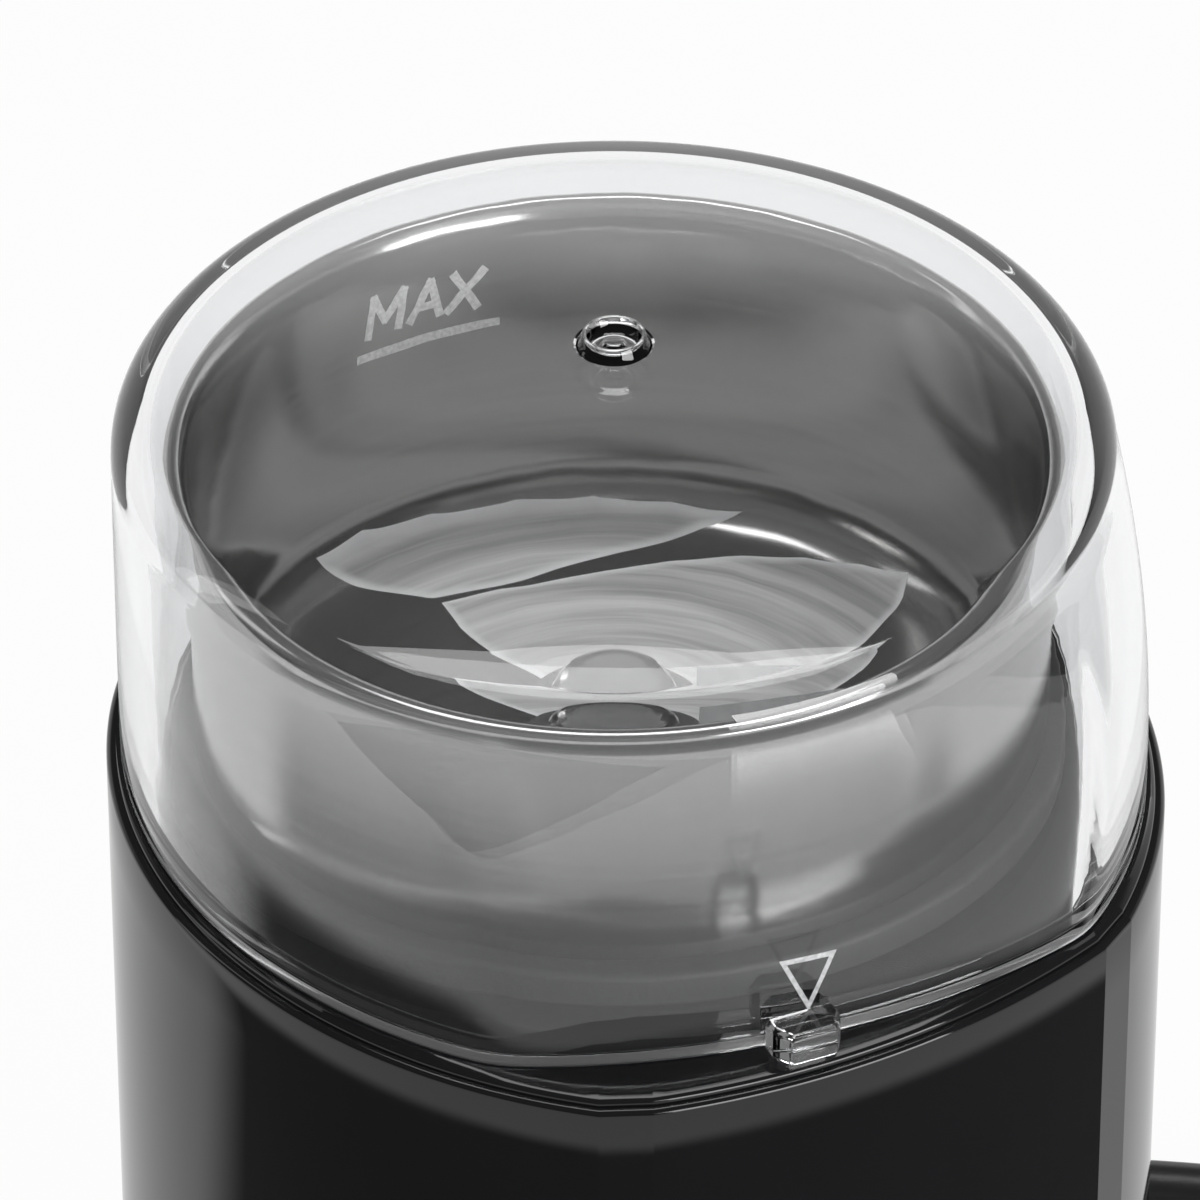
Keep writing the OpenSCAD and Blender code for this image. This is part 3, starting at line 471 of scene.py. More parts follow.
def coil_point(turned):
    """The lead in its coil after so many degrees: an outer turn, an inner one, then one on top of them."""
    r = 37.1 - 6.2 * ease((turned - 180) / 110)
    z = CORD_R
    up = (turned - 570) / 75
    if up > 0:
        z += 5.4 * ease(up * 1.25)
        r += 3.1 * ease(up * 1.6 - 0.6)
    over = abs(turned - 720 - 236) / 62
    z += 0.95 * ease(1 - over)
    a = math.radians(-turned)
    return Vector((COIL[0] + r * math.cos(a), COIL[1] + r * math.sin(a), z))


lead_line = spline(ROUTE)[:-1]
lead_line += [coil_point(d) for d in range(0, 1081, 9)]
lead_line += spline([tuple(coil_point(1071)), tuple(coil_point(1080))] + TAIL)[6:]
lead_line = [Vector((p.x, p.y + AXIS_Y, p.z)) * MM for p in lead_line]


def tube_along(name, line, radius, slot, sides=16):
    """A round tube along points in metres, kept upright."""
    rings = []
    for i, p in enumerate(line):
        ahead = (line[min(i + 1, len(line) - 1)] - line[max(i - 1, 0)]).normalized()
        u = ahead.cross(Vector((0, 0, 1))).normalized()
        v = u.cross(ahead)
        turns = [2 * math.pi * k / sides for k in range(sides)]
        rings.append([(p + radius * MM * (math.cos(a) * u + math.sin(a) * v)) / MM for a in turns])
    verts, faces = loft([[tuple(q) for q in ring] for ring in rings])
    return piece(name, verts, faces, slot)


lead = tube_along("lead", lead_line, CORD_R, "lead_sheath")
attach(lead, "base")
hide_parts("mains_cord", "cord_coil", "cord_tail")

PLUG = (125.0, -27.0 + AXIS_Y)


def plug_ring(w, h, y, z, n=48, power=2.6):
    """A rounded outline across the plug, half width w and half height h."""
    ring = []
    for k in range(n):
        a = 2 * math.pi * k / n
        c, s = math.cos(a), math.sin(a)
        ring.append((PLUG[0] + w * math.copysign(abs(c) ** (2 / power), c), PLUG[1] + y,
                     z + h * math.copysign(abs(s) ** (2 / power), s)))
    return ring


plug_rings = []
for y, w, h, z, power in ((2.0, 3.3, 3.3, 5.0, 2), (1.6, 3.9, 3.9, 5.0, 2), (0.0, 4.1, 4.1, 5.0, 2),
                          (-1.2, 4.1, 4.1, 5.0, 2), (-1.4, 3.7, 3.7, 5.0, 2),
                          (-2.2, 3.7, 3.7, 5.0, 2), (-2.4, 4.3, 4.2, 5.1, 2),
                          (-3.8, 4.4, 4.3, 5.2, 2), (-4.0, 3.9, 3.9, 5.2, 2), (-4.8, 4.0, 4.0, 5.4, 2.1),
                          (-5.0, 4.8, 4.5, 5.5, 2.1), (-7.0, 7.0, 5.6, 6.1, 2.3), (-9.5, 9.4, 6.5, 6.7, 2.6),
                          (-12.0, 10.6, 6.9, 7.0, 2.8), (-17.0, 11.0, 7.0, 7.0, 3.0), (-21.0, 10.6, 6.8, 7.0, 3.0),
                          (-25.0, 10.9, 6.95, 7.0, 3.0), (-25.7, 10.6, 6.6, 7.0, 3.0), (-26.0, 9.9, 6.0, 7.0, 3.0)):
    plug_rings.append(plug_ring(w, h, y, z, power=power))
verts, faces = loft(plug_rings)
plug = piece("plug_moulding", verts, faces, "lead_sheath")
sharpen(plug, 40)
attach(plug, "base")
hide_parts("plug_body")

# ---------------------------------------------------------------- housing

BUTTON = (28.0, 15.0, 115.0)    # width, height and height of its middle
BUTTON_OUT = 2.9
FRONT_Y = AXIS_Y - FRONT - LEDGE_FRONT


def pill(w, h, n=64):
    """Outline of a flat-sided round-ended shape, in x and z."""
    points = []
    for k in range(n):
        a = 2 * math.pi * k / n
        points.append((math.copysign((w - h) / 2, math.cos(a)) + h / 2 * math.cos(a), h / 2 * math.sin(a)))
    return points


def cut(obj, cutter):
    """Takes the cutter's solid out of obj."""
    m = obj.modifiers.new("cut", "BOOLEAN")
    m.operation = "DIFFERENCE"
    m.solver = "EXACT"
    m.object = cutter
    dg = bpy.context.evaluated_depsgraph_get()
    done = bpy.data.meshes.new_from_object(obj.evaluated_get(dg))
    obj.modifiers.clear()
    obj.data = done
    bpy.data.objects.remove(cutter)


def temp(verts, faces):
    """A cutter that isn't part of the object."""
    me = bpy.data.meshes.new("cutter")
    me.from_pydata([(x * MM, y * MM, z * MM) for x, y, z in verts], [], faces)
    bm = bmesh.new()
    bm.from_mesh(me)
    bmesh.ops.recalc_face_normals(bm, faces=bm.faces)
    bm.to_mesh(me)
    bm.free()
    obj = bpy.data.objects.new("cutter", me)
    bpy.context.scene.collection.objects.link(obj)
    return obj


WALL = 2.4
skin = []
for inset, z in [(0.9 * (1 - math.sin(math.radians(t))), SKIRT_Z + 0.9 * (1 - math.cos(math.radians(t))))
                 for t in (0, 22.5, 45, 67.5, 90)]:
    skin.append((inset, z))
skin += [(0.0, 8.0), (0.0, 60.0), (0.0, 100.0), (0.0, 140.0)]
skin += [(0.55 * (1 - math.cos(math.radians(t))), RIM_Z - 0.55 + 0.55 * math.sin(math.radians(t)))
         for t in (0, 22.5, 45, 67.5, 90)]
skin += [(WALL, RIM_Z), (WALL, SKIRT_Z)]
verts, faces = loft([plan_ring(lambda a, i=i: body_r(a, i), z) for i, z in skin], loop=True)
housing = piece("housing_shell", verts, faces, "black_gloss")
BUTTON_GAP, LEAD_HOLE_R, LEAD_Z = 0.3, 4.2, 12.0
hole = pill(BUTTON[0] + 2 * BUTTON_GAP, BUTTON[1] + 2 * BUTTON_GAP)
cut(housing, temp(*loft([[(x, y, BUTTON[2] + z) for x, z in hole] for y in (FRONT_Y - 3, FRONT_Y + 9)])))
back_hole = [(LEAD_HOLE_R * math.cos(2 * math.pi * k / 48), LEAD_Z + LEAD_HOLE_R * math.sin(2 * math.pi * k / 48))
             for k in range(48)]
back_y = AXIS_Y + body_r(math.pi, 0)
cut(housing, temp(*loft([[(x, y, z) for x, z in back_hole] for y in (back_y - 6, back_y + 3)])))
for p in housing.data.polygons:
    p.use_smooth = True
sharpen(housing, 35)
crease(housing)
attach(housing, "base")
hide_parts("housing")

BOWL_R, BOWL_T, BOWL_FLOOR = 35.5, 0.8, 144.0
deck = [(lambda a: BOWL_R + BOWL_T + 0.1, 141.0), (lambda a: BOWL_R + BOWL_T + 0.1, DECK_Z)]
for inset, z in ((0.55, DECK_Z), (0.2, DECK_Z), (-0.35, DECK_Z - 0.05)):
    deck.append((lambda a, i=inset: lid_r(a, 0, i), z))
deck += [(lambda a: body_r(a, 1.15), RIM_Z + 0.62), (lambda a: body_r(a, 0.95), RIM_Z + 0.5),
         (lambda a: body_r(a, 0.82), RIM_Z + 0.3), (lambda a: body_r(a, 0.8), RIM_Z + 0.1),
         (lambda a: body_r(a, 0.8), RIM_Z - 0.4), (lambda a: body_r(a, 3.0), RIM_Z - 0.4),
         (lambda a: body_r(a, 3.0), 141.0)]
verts, faces = loft([plan_ring(f, z) for f, z in deck], loop=True)
ledge = piece("deck_ledge", verts, faces, "black_gloss")
sharpen(ledge, 38)
crease(ledge)
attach(ledge, "base")
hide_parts("top_deck")

# ---------------------------------------------------------------- button


def button_face_y(x):
    """The bowed front of the button at a sideways place."""
    r = FRONT_R + LEDGE_FRONT + BUTTON_OUT
    return AXIS_Y + FRONT_CY - math.sqrt(r * r - (x - BODY_FRONT_SHIFT) ** 2)


def button_ring(inset, back):
    """The button's outline, inset in mm, a little behind its bowed front."""
    return [(x, button_face_y(x) + back, BUTTON[2] + z)
            for x, z in pill(BUTTON[0] - 2 * inset, BUTTON[1] - 2 * inset)]


STEM_R, STEM_END = 3.0, 38.5            # the stem's radius, and its end's distance in front of the axis
FLANGE, FLANGE_T, FLANGE_GROW = 45.87, 0.5, 1.5     # the flange's back, its thickness, and how far it passes the cap
EDGE_IN, EDGE_BACK = 1.2, 1.3           # the rounded edge of the cap, across and along the press
stem = (2 * STEM_R, 2 * STEM_R)
flange = (BUTTON[0] + 2 * FLANGE_GROW, BUTTON[1] + 2 * FLANGE_GROW)
button_rings = [[(x, AXIS_Y - away, BUTTON[2] + z) for x, z in pill(*size)] for size, away in (
    (stem, STEM_END), (stem, FLANGE), (flange, FLANGE), (flange, FLANGE + FLANGE_T), (BUTTON[:2], FLANGE + FLANGE_T))]
for t in (0, 15, 30, 45, 60, 75, 90):
    t = math.radians(t)
    button_rings.append(button_ring(EDGE_IN * (1 - math.cos(t)), EDGE_BACK * (1 - math.sin(t))))
button_rings += [button_ring(inset, back) for inset, back in ((2.6, -0.02), (4.2, 0.12), (5.6, 0.3), (6.9, 0.38))]
verts, faces = loft(button_rings)
button_cap = piece("button_cap", verts, faces, "silver_plastic")
sharpen(button_cap, 50)
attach(button_cap, "button")
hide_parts("button")

# ---------------------------------------------------------------- bowl

BOWL_TOP = 174.0
profile = [(4.2, BOWL_FLOOR - BOWL_T), (4.2, BOWL_FLOOR)]
profile += [(12, BOWL_FLOOR), (20, BOWL_FLOOR)]
FILLET = 5.0
profile += arc(BOWL_R - FILLET, BOWL_FLOOR + FILLET, FILLET, -90, 0, 18)
profile += [(BOWL_R, z) for z in (152, 158, 164, 169, 171.2)]
profile += [(BOWL_R + 0.06, 171.8), (BOWL_R + 0.18, 172.5), (BOWL_R + 0.36, 173.2)]
profile += arc(BOWL_R + 1.25, BOWL_TOP - 0.75, 0.75, 165, -20, 12)
profile += [(BOWL_R + 1.9, 171.9), (BOWL_R + 1.3, 171.5), (BOWL_R + BOWL_T, 171.3)]
profile += [(BOWL_R + BOWL_T, z) for z in (164, 157, 150)]
profile += arc(BOWL_R + BOWL_T - FILLET, BOWL_FLOOR - BOWL_T + FILLET, FILLET, 0, -90, 12)
profile += [(20, BOWL_FLOOR - BOWL_T)]
bowl = lathe("bowl_brushed", profile, "brushed_steel", n=256)
sharpen(bowl, 40)
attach(bowl, "base")
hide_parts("bowl")

gasket_in, gasket_out = BOWL_R + BOWL_T, BOWL_R + BOWL_T + 2.2
profile = [(gasket_in + 0.02, DECK_Z), (gasket_out, DECK_Z), (gasket_out, DECK_Z + 1.4)]
profile += arc(gasket_out - 0.7, DECK_Z + 2.3, 0.7, 0, 90, 5) + [(gasket_in + 0.02, DECK_Z + 3.0)]
gasket = lathe("gasket_ring", profile, "rubber", n=192)
sharpen(gasket, 40)
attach(gasket, "base")
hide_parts("bowl_gasket")


def bowl_height(x, y):
    """Height in mm of the bowl's floor and fillet at a place inside its wall."""
    r = math.hypot(x, y - AXIS_Y)
    flat = BOWL_R - FILLET
    if r <= flat:
        return BOWL_FLOOR
    return BOWL_FLOOR + FILLET - math.sqrt(max(0.0, FILLET ** 2 - (r - flat) ** 2))


def on_bowl(points, turn, z, lift=0.04):
    """Points drawn flat, in mm, wrapped inside the bowl's wall at an angle from the front."""
    r = BOWL_R - lift
    verts = []
    for x, y in points:
        a = math.radians(turn) + x / BOWL_R
        verts.append((r * math.sin(a), AXIS_Y - r * math.cos(a), z + y))
    return verts


def painted_reflection_material():
    """Satin steel brushed round the axis, made bright as a painted reflection, with a white painted highlight along
    its edges.
    """
    t = Tree("satin_painted_reflection")
    p = t.node("BsdfPrincipled")
    lines = t.noise(1.0, 5.0, t.polar(900.0), 0.65)
    wide = t.noise(1.0, 3.0, t.polar(260.0), 0.5)
    both = t.math("ADD", t.math("MULTIPLY", lines, 0.5), t.math("MULTIPLY", wide, 0.5))
    drawn = t.ramp(both, 0.0, 1.0)
    # brush streaks, lightened overall into a painted reflection of the bowl's floor
    grain_and_painted_reflection = t.mix_color(drawn, (0.3, 0.295, 0.29, 1), (0.96, 0.95, 0.94, 1))
    # the edge attribute mixes in white: a painted highlight round each patch's outline
    edge = t.node("Attribute", attribute_name="edge")
    t.link(t.mix_color(edge.outputs["Fac"], grain_and_painted_reflection, (1.0, 1.0, 0.99, 1)), p.inputs["Base Color"])
    t.link(t.ramp(both, 0.3, 0.5), p.inputs["Roughness"])
    p.inputs["Metallic"].default_value = 0.05
    t.link(t.bump(lines, 0.1, 0.00004), p.inputs["Normal"])
    t.link(p.outputs[0], t.out.inputs[0])
    return t.mat


def along(points, t):
    """A place at share t of the way along a line of points in the plane."""
    lengths = [math.dist(a, b) for a, b in zip(points, points[1:])]
    left = t * sum(lengths)
    for a, b, length in zip(points, points[1:], lengths):
        if left <= length or b == points[-1]:
            share = min(1.0, left / length)
            return (a[0] + (b[0] - a[0]) * share, a[1] + (b[1] - a[1]) * share)
        left -= length


def outline_gap(place, outline):
    """Distance from a place to a closed outline."""
    best = 1e9
    for a, b in zip(outline, outline[1:] + outline[:1]):
        dx, dy = b[0] - a[0], b[1] - a[1]
        share = ((place[0] - a[0]) * dx + (place[1] - a[1]) * dy) / max(1e-9, dx * dx + dy * dy)
        share = min(1.0, max(0.0, share))
        best = min(best, math.dist(place, (a[0] + share * dx, a[1] + share * dy)))
    return best


# Far and near edge of each satin patch of painted reflection, in mm to the right of and behind the axis, and the
# width of its white painted highlight rim
PAINTED_REFLECTIONS = {
    "painted_reflection_left": (((-14.3, 31.8), (-9.1, 33.8), (-2.3, 34.6), (5.6, 34.0), (12.0, 32.1), (18.1, 28.8), (23.1, 25.0)),
                  ((-14.3, 31.8), (-11.0, 29.4), (-6.0, 25.9), (0.1, 25.0), (11.5, 25.6), (19.7, 25.6), (23.1, 25.0)),
                  1.3),
    "painted_reflection_right": (((-5.4, 24.9), (-0.1, 24.5), (7.7, 23.7), (15.3, 22.6), (21.1, 20.8), (25.8, 18.3), (29.7, 14.6),
                    (32.5, 10.7)),
                   ((-5.4, 24.9), (-5.4, 20.5), (-4.5, 16.6), (-1.1, 9.8), (4.2, 7.5), (10.6, 3.5), (18.2, 2.0),
                    (25.2, 4.3), (30.8, 8.4), (32.5, 10.7)), 0.9),
}
LAND_LIFT, LAND_STEPS, LAND_ROWS = 0.1, 64, 16
painted_reflection_mat = painted_reflection_material()
# Each patch is a painted reflection on the bowl's floor, and its outline is a painted highlight
for name, (far_edge, near_edge, painted_highlight_width) in PAINTED_REFLECTIONS.items():
    outline = list(far_edge) + list(near_edge[-2:0:-1])
    rings, painted_highlight_shares = [], []
    for i in range(LAND_STEPS + 1):
        ring = []
        a, b = along(far_edge, i / LAND_STEPS), along(near_edge, i / LAND_STEPS)
        for j in range(LAND_ROWS + 1):
            x, y = (a[0] + (b[0] - a[0]) * j / LAND_ROWS, AXIS_Y + a[1] + (b[1] - a[1]) * j / LAND_ROWS)
            gap = outline_gap((x, y - AXIS_Y), outline)
            # share of the white painted highlight: 1 on the outline, 0 a rim's width inside
            painted_highlight_shares.append(1 - ease(min(1.0, gap / painted_highlight_width)))
            ring.append((x, y, bowl_height(x, y) + LAND_LIFT * (0.3 + 0.7 * ease(min(1.0, gap / 0.6)))))
        rings.append(ring)
    faces = [(i * (LAND_ROWS + 1) + j, i * (LAND_ROWS + 1) + j + 1, (i + 1) * (LAND_ROWS + 1) + j + 1,
              (i + 1) * (LAND_ROWS + 1) + j) for i in range(LAND_STEPS) for j in range(LAND_ROWS)]
    me = bpy.data.meshes.new(name)
    me.from_pydata([(x * MM, y * MM, z * MM) for ring in rings for x, y, z in ring], [], faces)
    me.attributes.new("edge", "FLOAT", "POINT").data.foreach_set("value", painted_highlight_shares)
    me.materials.append(painted_reflection_mat)
    reflection_patch = bpy.data.objects.new(name, me)
    bpy.context.scene.collection.objects.link(reflection_patch)
    for poly in me.polygons:
        poly.use_smooth = True
    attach(reflection_patch, "base")

STROKES = {      # capital letters as strokes in a box one high
    "M": (((0, 0), (0, 1)), ((0, 1), (0.45, 0.3)), ((0.45, 0.3), (0.9, 1)), ((0.9, 1), (0.9, 0))),
    "A": (((0, 0), (0.42, 1)), ((0.42, 1), (0.84, 0)), ((0.17, 0.34), (0.67, 0.34))),
    "X": (((0, 0), (0.78, 1)), ((0, 1), (0.78, 0))),
}


def stroke_quads(a, b, width):
    """A straight stroke as short quads, so that it can be wrapped."""
    a, b = Vector(a), Vector(b)
    reach = (b - a).normalized() * width * 0.35
    a, b = a - reach, b + reach
    side = Vector((-(b - a).y, (b - a).x)).normalized() * width / 2
    steps = max(1, int((b - a).length / 1.0))
    verts, faces = [], []
    for i in range(steps + 1):
        p = a.lerp(b, i / steps)
        verts += [p + side, p - side]
        if i:
            faces.append((2 * i - 2, 2 * i - 1, 2 * i + 1, 2 * i))
    return verts, faces


MARK_TURN, MARK_Z, LETTER_H, LEAN = 183.7, 165.6, 3.4, 0.2
flat_verts, flat_faces = [], []
x0 = 0.0
MARK_MIRROR = -1       # seen from inside, angles run the other way
for letter in "MAX":
    for a, b in STROKES[letter]:
        v, f = stroke_quads((x0 + (a[0] + LEAN * a[1]) * LETTER_H, a[1] * LETTER_H),
                            (x0 + (b[0] + LEAN * b[1]) * LETTER_H, b[1] * LETTER_H), 0.78)
        base_index = len(flat_verts)
        flat_verts += [(p.x, p.y) for p in v]
        flat_faces += [tuple(i + base_index for i in q) for q in f]
    x0 += {"M": 1.24, "A": 1.06, "X": 1.0}[letter] * LETTER_H
v, f = stroke_quads((-0.9, -1.9), (x0 + 1.0, -1.9), 0.9)
base_index = len(flat_verts)
flat_verts += [(p.x, p.y) for p in v]
flat_faces += [tuple(i + base_index for i in q) for q in f]
flat_verts = [(MARK_MIRROR * (x - x0 / 2), y) for x, y in flat_verts]
MATS["bowl_mark"] = etched("etched_mark", (0.85, 0.84, 0.83), 0.8)
mark = piece("max_mark", on_bowl(flat_verts, MARK_TURN, MARK_Z), flat_faces, "brushed_steel", mat=MATS["bowl_mark"])
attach(mark, "base")

# ---------------------------------------------------------------- lid

LID_H, LID_BEND, LID_WALL, LID_TOP, LID_DOME = 33.0, 4.0, 3.0, 3.0, 6.4
shoulder_turn = 90 - math.degrees(math.atan(2 * LID_DOME / (BACK_R - LID_BEND)))


def edge_r(r, bend):
    return r - bend * (1 - math.cos(math.radians(shoulder_turn)))


def crown_rings(r, z, bend, to_r, steps=9, rings=14):
    """Rings of the shoulder and of the dome inside it, down to a radius."""
    out = []
    for i in range(1, steps + 1):
        t = math.radians(shoulder_turn * i / steps)
        out.append((r - bend * (1 - math.cos(t)), z + bend * math.sin(t)))
    e, ze = out[-1]
    dome = LID_DOME * (e / edge_r(BACK_R, LID_BEND)) ** 2
    for i in range(1, rings + 1):
        q = 1 - (1 - to_r / e) * i / rings
        out.append((e * q, ze + dome * (1 - q * q)))
    return out


def wall_rings(inset, straight, foot, steps=16):
    rings = []
    for i in range(steps + 1):
        h = i / steps
        z = max(foot, h * straight)
        rings.append(plan_ring(lambda a, h=h: lid_r(a, h, inset), DECK_Z + z))
    return rings


LID_CLEAR = 0.03       # the lid stands this far above the deck, so that the two don't share a face
in_bend = LID_BEND - 1.5
in_straight = LID_H - LID_TOP - in_bend
outer = wall_rings(0.0, LID_H - LID_BEND, 0.45)
foot = [plan_ring(lambda a, i=i: lid_r(a, 0, i), DECK_Z + z)
        for i, z in ((0.2, LID_CLEAR), (0.1, 0.05), (0.03, 0.1), (0.0, 0.2))]
inner = wall_rings(LID_WALL, in_straight, 0.35)
in_foot = [plan_ring(lambda a, i=i: lid_r(a, 0, i), DECK_Z + z)
           for i, z in ((LID_WALL, 0.2), (LID_WALL - 0.03, 0.1), (LID_WALL - 0.1, 0.05), (LID_WALL - 0.2, LID_CLEAR))]
GATE_R, GATE_RISE = 3.1, 1.3
out_crown = crown_rings(BACK_R, LID_H - LID_BEND, LID_BEND, GATE_R + 0.3)
gate_z = LID_H + 5.94      # where the CAD's flat crown lies
out_crown += [(r, gate_z + z) for r, z in (
    (GATE_R + 0.1, 0.08), (GATE_R, 0.22), (2.86, 0.7), (2.7, 1.12), (2.62, 1.25), (2.5, GATE_RISE), (2.38, 1.25),
    (2.28, 1.1), (2.12, 0.7), (1.9, 0.3), (1.6, 0.1), (1.2, 0.03), (0.95, 0.06), (0.78, 0.2), (0.68, 0.36),
    (0.5, 0.42), (0.2, 0.43))]
in_crown = crown_rings(BACK_R - LID_WALL, in_straight, in_bend, 0.4)
rings = [plan_ring(lambda a, r=r: r, DECK_Z + z) for r, z in reversed(in_crown)]
rings += list(reversed(inner)) + in_foot + foot + outer
rings += [plan_ring(lambda a, r=r: r, DECK_Z + z) for r, z in out_crown]
verts, faces = loft(rings)
lid = piece("lid_clear", verts, faces, "clear_plastic")
sharpen(lid, 32)
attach(lid, "lid")
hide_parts("lid")

TAB_X, TAB_W, TAB_OUT, TAB_H = -3.7, 6.2, 3.2, 3.2
tab_turn = math.atan2(TAB_X, FRONT) % (2 * math.pi)
tab_y = AXIS_Y - lid_r(tab_turn, 0, 0) * math.cos(tab_turn) - 0.02
outline = [(-0.5, 0.0), (-0.5, -0.45), (-0.33, -1.0), (0.33, -1.0), (0.5, -0.45), (0.5, 0.0)]


def tab_ring(grow, z):
    return [(TAB_X + x * (TAB_W + 2 * grow), tab_y + y * (TAB_OUT + grow), DECK_Z + z) for x, y in outline]


verts, faces = loft([tab_ring(-0.3, 0.06), tab_ring(0.0, 0.35), tab_ring(0.0, TAB_H - 0.45), tab_ring(-0.4, TAB_H)])
tab = piece("lid_tab", verts, faces, "clear_plastic", smooth=False)
bevel(tab, 0.16, 3, 25)
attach(tab, "lid")

MATS["frost"] = etched("frosted_mark", (0.85, 0.86, 0.87), 0.6)


def on_lid(x, z, out=0.03):
    """A point on the lid's front, x mm to the right of its middle and z mm above the deck."""
    a = math.atan2(x, FRONT)
    r = lid_r(a % (2 * math.pi), z / (LID_H - LID_BEND), 0) + out
    return (r * math.sin(a), AXIS_Y - r * math.cos(a), DECK_Z + z)


ARROW_X, ARROW_W, ARROW_LOW, ARROW_HIGH = -2.9, 5.1, 2.9, 8.4
tri = [Vector((ARROW_X - ARROW_W / 2, ARROW_HIGH)), Vector((ARROW_X + ARROW_W / 2, ARROW_HIGH)),
       Vector((ARROW_X, ARROW_LOW))]
centre = sum(tri, Vector((0, 0))) / 3
tri_verts, tri_faces = [], []
for i in range(3):
    a, b = tri[i], tri[(i + 1) % 3]
    for s in range(12):
        t = s / 12
        p = a.lerp(b, t)
        q = p.lerp(centre, 0.27)
        tri_verts += [p, q]
m = len(tri_verts) // 2
for i in range(m):
    j = (i + 1) % m
    tri_faces.append((2 * i, 2 * i + 1, 2 * j + 1, 2 * j))
arrow = piece("lid_arrow", [on_lid(p.x, p.y) for p in tri_verts], tri_faces, "clear_plastic", mat=MATS["frost"])
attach(arrow, "lid")

# ---------------------------------------------------------------- floor, light and world


FLOOR_WHITE = 0.93                      # share of plain white that the camera sees
FLOOR_NEAR_GLOSS = 0.1                  # how bright gloss sees the floor near the object
FLOOR_NEAR, FLOOR_FAR = 0.236, 0.262    # distances in metres between which that rises to 1
FLOOR_BEHIND = 0.8                      # how bright gloss sees the floor behind the object


def pale_floor():
    """A pale floor that the camera and the clear lid see as white. Gloss sees it dimmer near the object."""
    t = Tree("pale_floor")
    d = t.node("BsdfPrincipled")
    soft = t.noise(3.0, 3.0)
    t.link(t.mix_color(soft, (0.85, 0.85, 0.85, 1), (0.87, 0.87, 0.87, 1)), d.inputs["Base Color"])
    t.link(t.ramp(soft, 0.55, 0.65), d.inputs["Roughness"])
    d.inputs["Specular IOR Level"].default_value = 0.2
    away = t.node("VectorMath", operation="LENGTH")
    t.link(t.place(), away.inputs[0])
    behind = t.node("VectorMath", operation="DOT_PRODUCT")
    t.link(t.place(), behind.inputs[0])
    behind.inputs[1].default_value = (math.sin(CAM_TURN), math.cos(CAM_TURN), 0)
    behind = smooth_step(t.t, behind.outputs["Value"], -0.01, 0.05)
    white = t.node("Emission")
    dim = t.node("Emission")
    far = smooth_step(t.t, away.outputs["Value"], FLOOR_NEAR, FLOOR_FAR, FLOOR_NEAR_GLOSS, 1.0)
    t.link(t.math("MAXIMUM", far, t.math("MULTIPLY", behind, FLOOR_BEHIND)), dim.inputs["Strength"])
    path = t.node("LightPath")
    through = t.math("MULTIPLY", path.outputs["Is Transmission Ray"], behind)
    seen = t.math("MULTIPLY", t.math("MAXIMUM", path.outputs["Is Camera Ray"], through), FLOOR_WHITE)
    glossy = t.node("MixShader")
    t.link(t.math("MAXIMUM", path.outputs["Is Glossy Ray"], path.outputs["Is Transmission Ray"]), glossy.inputs[0])
    t.link(d.outputs[0], glossy.inputs[1])
    t.link(dim.outputs[0], glossy.inputs[2])
    mix = t.node("MixShader")
    t.link(seen, mix.inputs[0])
    t.link(glossy.outputs[0], mix.inputs[1])
    t.link(white.outputs[0], mix.inputs[2])
    t.link(mix.outputs[0], t.out.inputs[0])
    return t.mat


me = bpy.data.meshes.new("floor")
size = 3.0
me.from_pydata([(-size, -size, 0), (size, -size, 0), (size, size, 0), (-size, size, 0)], [], [(0, 1, 2, 3)])
floor = bpy.data.objects.new("floor", me)
bpy.context.scene.collection.objects.link(floor)
me.materials.append(pale_floor())


def softbox(name, where, aim, wide, high, watts, fade):
    """A rectangular area light at a place in metres that faces another."""
    data = bpy.data.lights.new(name, "AREA")
    data.shape = "RECTANGLE"
    data.size, data.size_y = wide, high
    data.energy = watts
    if fade:        # the light dims towards its lower edge
        data.use_nodes = True
        lt = data.node_tree
        at = lt.nodes.new("ShaderNodeSeparateXYZ")
        lt.links.new(lt.nodes.new("ShaderNodeNewGeometry").outputs["Parametric"], at.inputs[0])
        glow = next(n for n in lt.nodes if n.type == "EMISSION")
        lt.links.new(smooth_step(lt, at.outputs[1], 0.0, fade), glow.inputs["Strength"])
    obj = bpy.data.objects.new(name, data)
    bpy.context.scene.collection.objects.link(obj)
    obj.location = where
    obj.rotation_mode = "QUATERNION"
    obj.rotation_quaternion = (Vector(aim) - Vector(where)).to_track_quat("-Z", "Y")
    return obj


def from_camera_side(turn, rise, distance):
    """A place in metres round the lid: turn to the right of the camera and rise, in degrees."""
    a = -CAM_TURN + math.radians(turn)
    e = math.radians(rise)
    return Vector((math.sin(a) * math.cos(e), -math.cos(a) * math.cos(e), math.sin(e))) * distance + AIM * MM


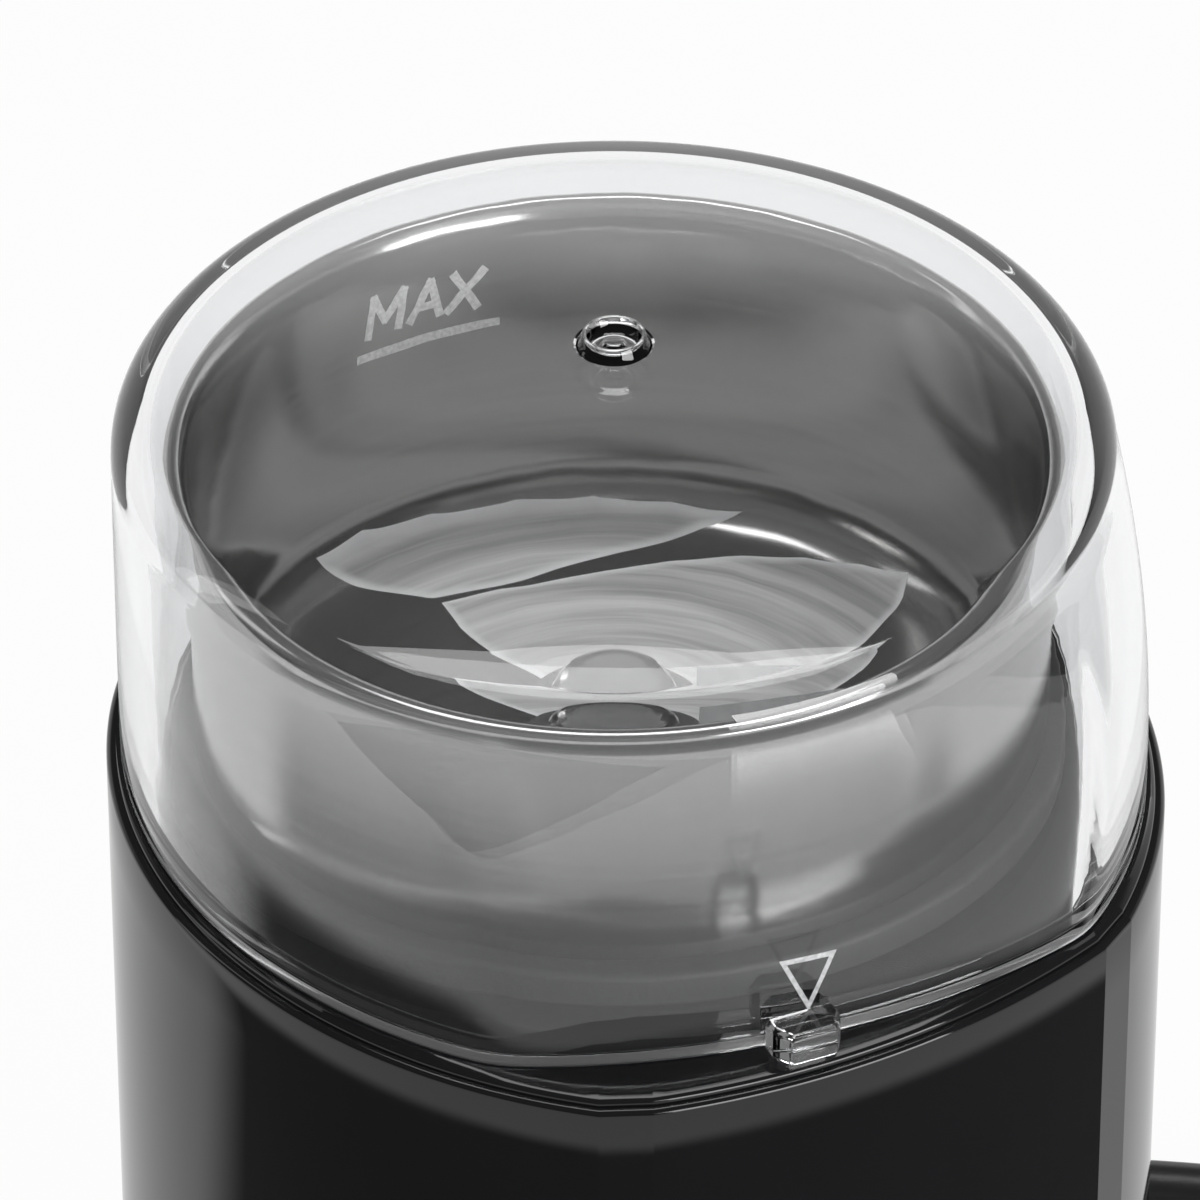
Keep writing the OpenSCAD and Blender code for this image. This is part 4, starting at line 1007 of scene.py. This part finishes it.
LIGHTS = (      # name, turn, rise, distance, width, height, radiance, share of the height that fades
    ("front_panel", 42, 6, 0.8, 0.5, 0.42, 9.5, 0.6),
    ("overhead", 180, 80, 1.0, 0.8, 0.3, 4.2, 0),
    ("strip_left", -100, 25, 0.8, 0.12, 0.6, 1.4, 0),
)
for name, turn, rise, distance, wide, high, radiance, fade in LIGHTS:
    watts = radiance * math.pi * wide * high
    softbox(name, from_camera_side(turn, rise, distance), AIM * MM, wide, high, watts, fade)

world = bpy.data.worlds.new("studio")
bpy.context.scene.world = world
world.use_nodes = True
wt = world.node_tree
wt.nodes.clear()


def world_math(operation, a, b):
    n = wt.nodes.new("ShaderNodeMath")
    n.operation = operation
    for socket, value in zip(n.inputs, (a, b)):
        if isinstance(value, bpy.types.NodeSocket):
            wt.links.new(value, socket)
        else:
            socket.default_value = value
    return n.outputs[0]


out = wt.nodes.new("ShaderNodeOutputWorld")
back = wt.nodes.new("ShaderNodeBackground")
path = wt.nodes.new("ShaderNodeLightPath")
look = wt.nodes.new("ShaderNodeTexCoord")
behind = wt.nodes.new("ShaderNodeVectorMath")
behind.operation = "DOT_PRODUCT"
wt.links.new(look.outputs["Generated"], behind.inputs[0])
behind.inputs[1].default_value = (math.sin(CAM_TURN), math.cos(CAM_TURN), 0)
behind = behind.outputs["Value"]
above = wt.nodes.new("ShaderNodeSeparateXYZ")
wt.links.new(look.outputs["Generated"], above.inputs[0])
above = smooth_step(wt, above.outputs[2], 0.3, 0.55)
AROUND = {      # what each kind of ray sees: on the camera's side, behind, where it changes, and high up
    "Is Glossy Ray": (0.12, 0.95, 0.35, 0.8, 0.14),
    "Is Transmission Ray": (0.1, 1.0, 0.1, 0.62, 0.22),
    "Is Diffuse Ray": (0.45, 0.6, -0.5, 0.5, 0.5),
}
strength = path.outputs["Is Camera Ray"]
for kind, (near, far, low, high, top) in AROUND.items():
    value = smooth_step(wt, behind, low, high, near, far)
    value = world_math("ADD", value, world_math("MULTIPLY", above, world_math("SUBTRACT", top, value)))
    strength = world_math("MAXIMUM", strength, world_math("MULTIPLY", path.outputs[kind], value))
wt.links.new(strength, back.inputs["Strength"])
back.inputs["Color"].default_value = (1, 1, 1, 1)
wt.links.new(back.outputs[0], out.inputs[0])

bpy.context.scene.view_settings.view_transform = "Standard"
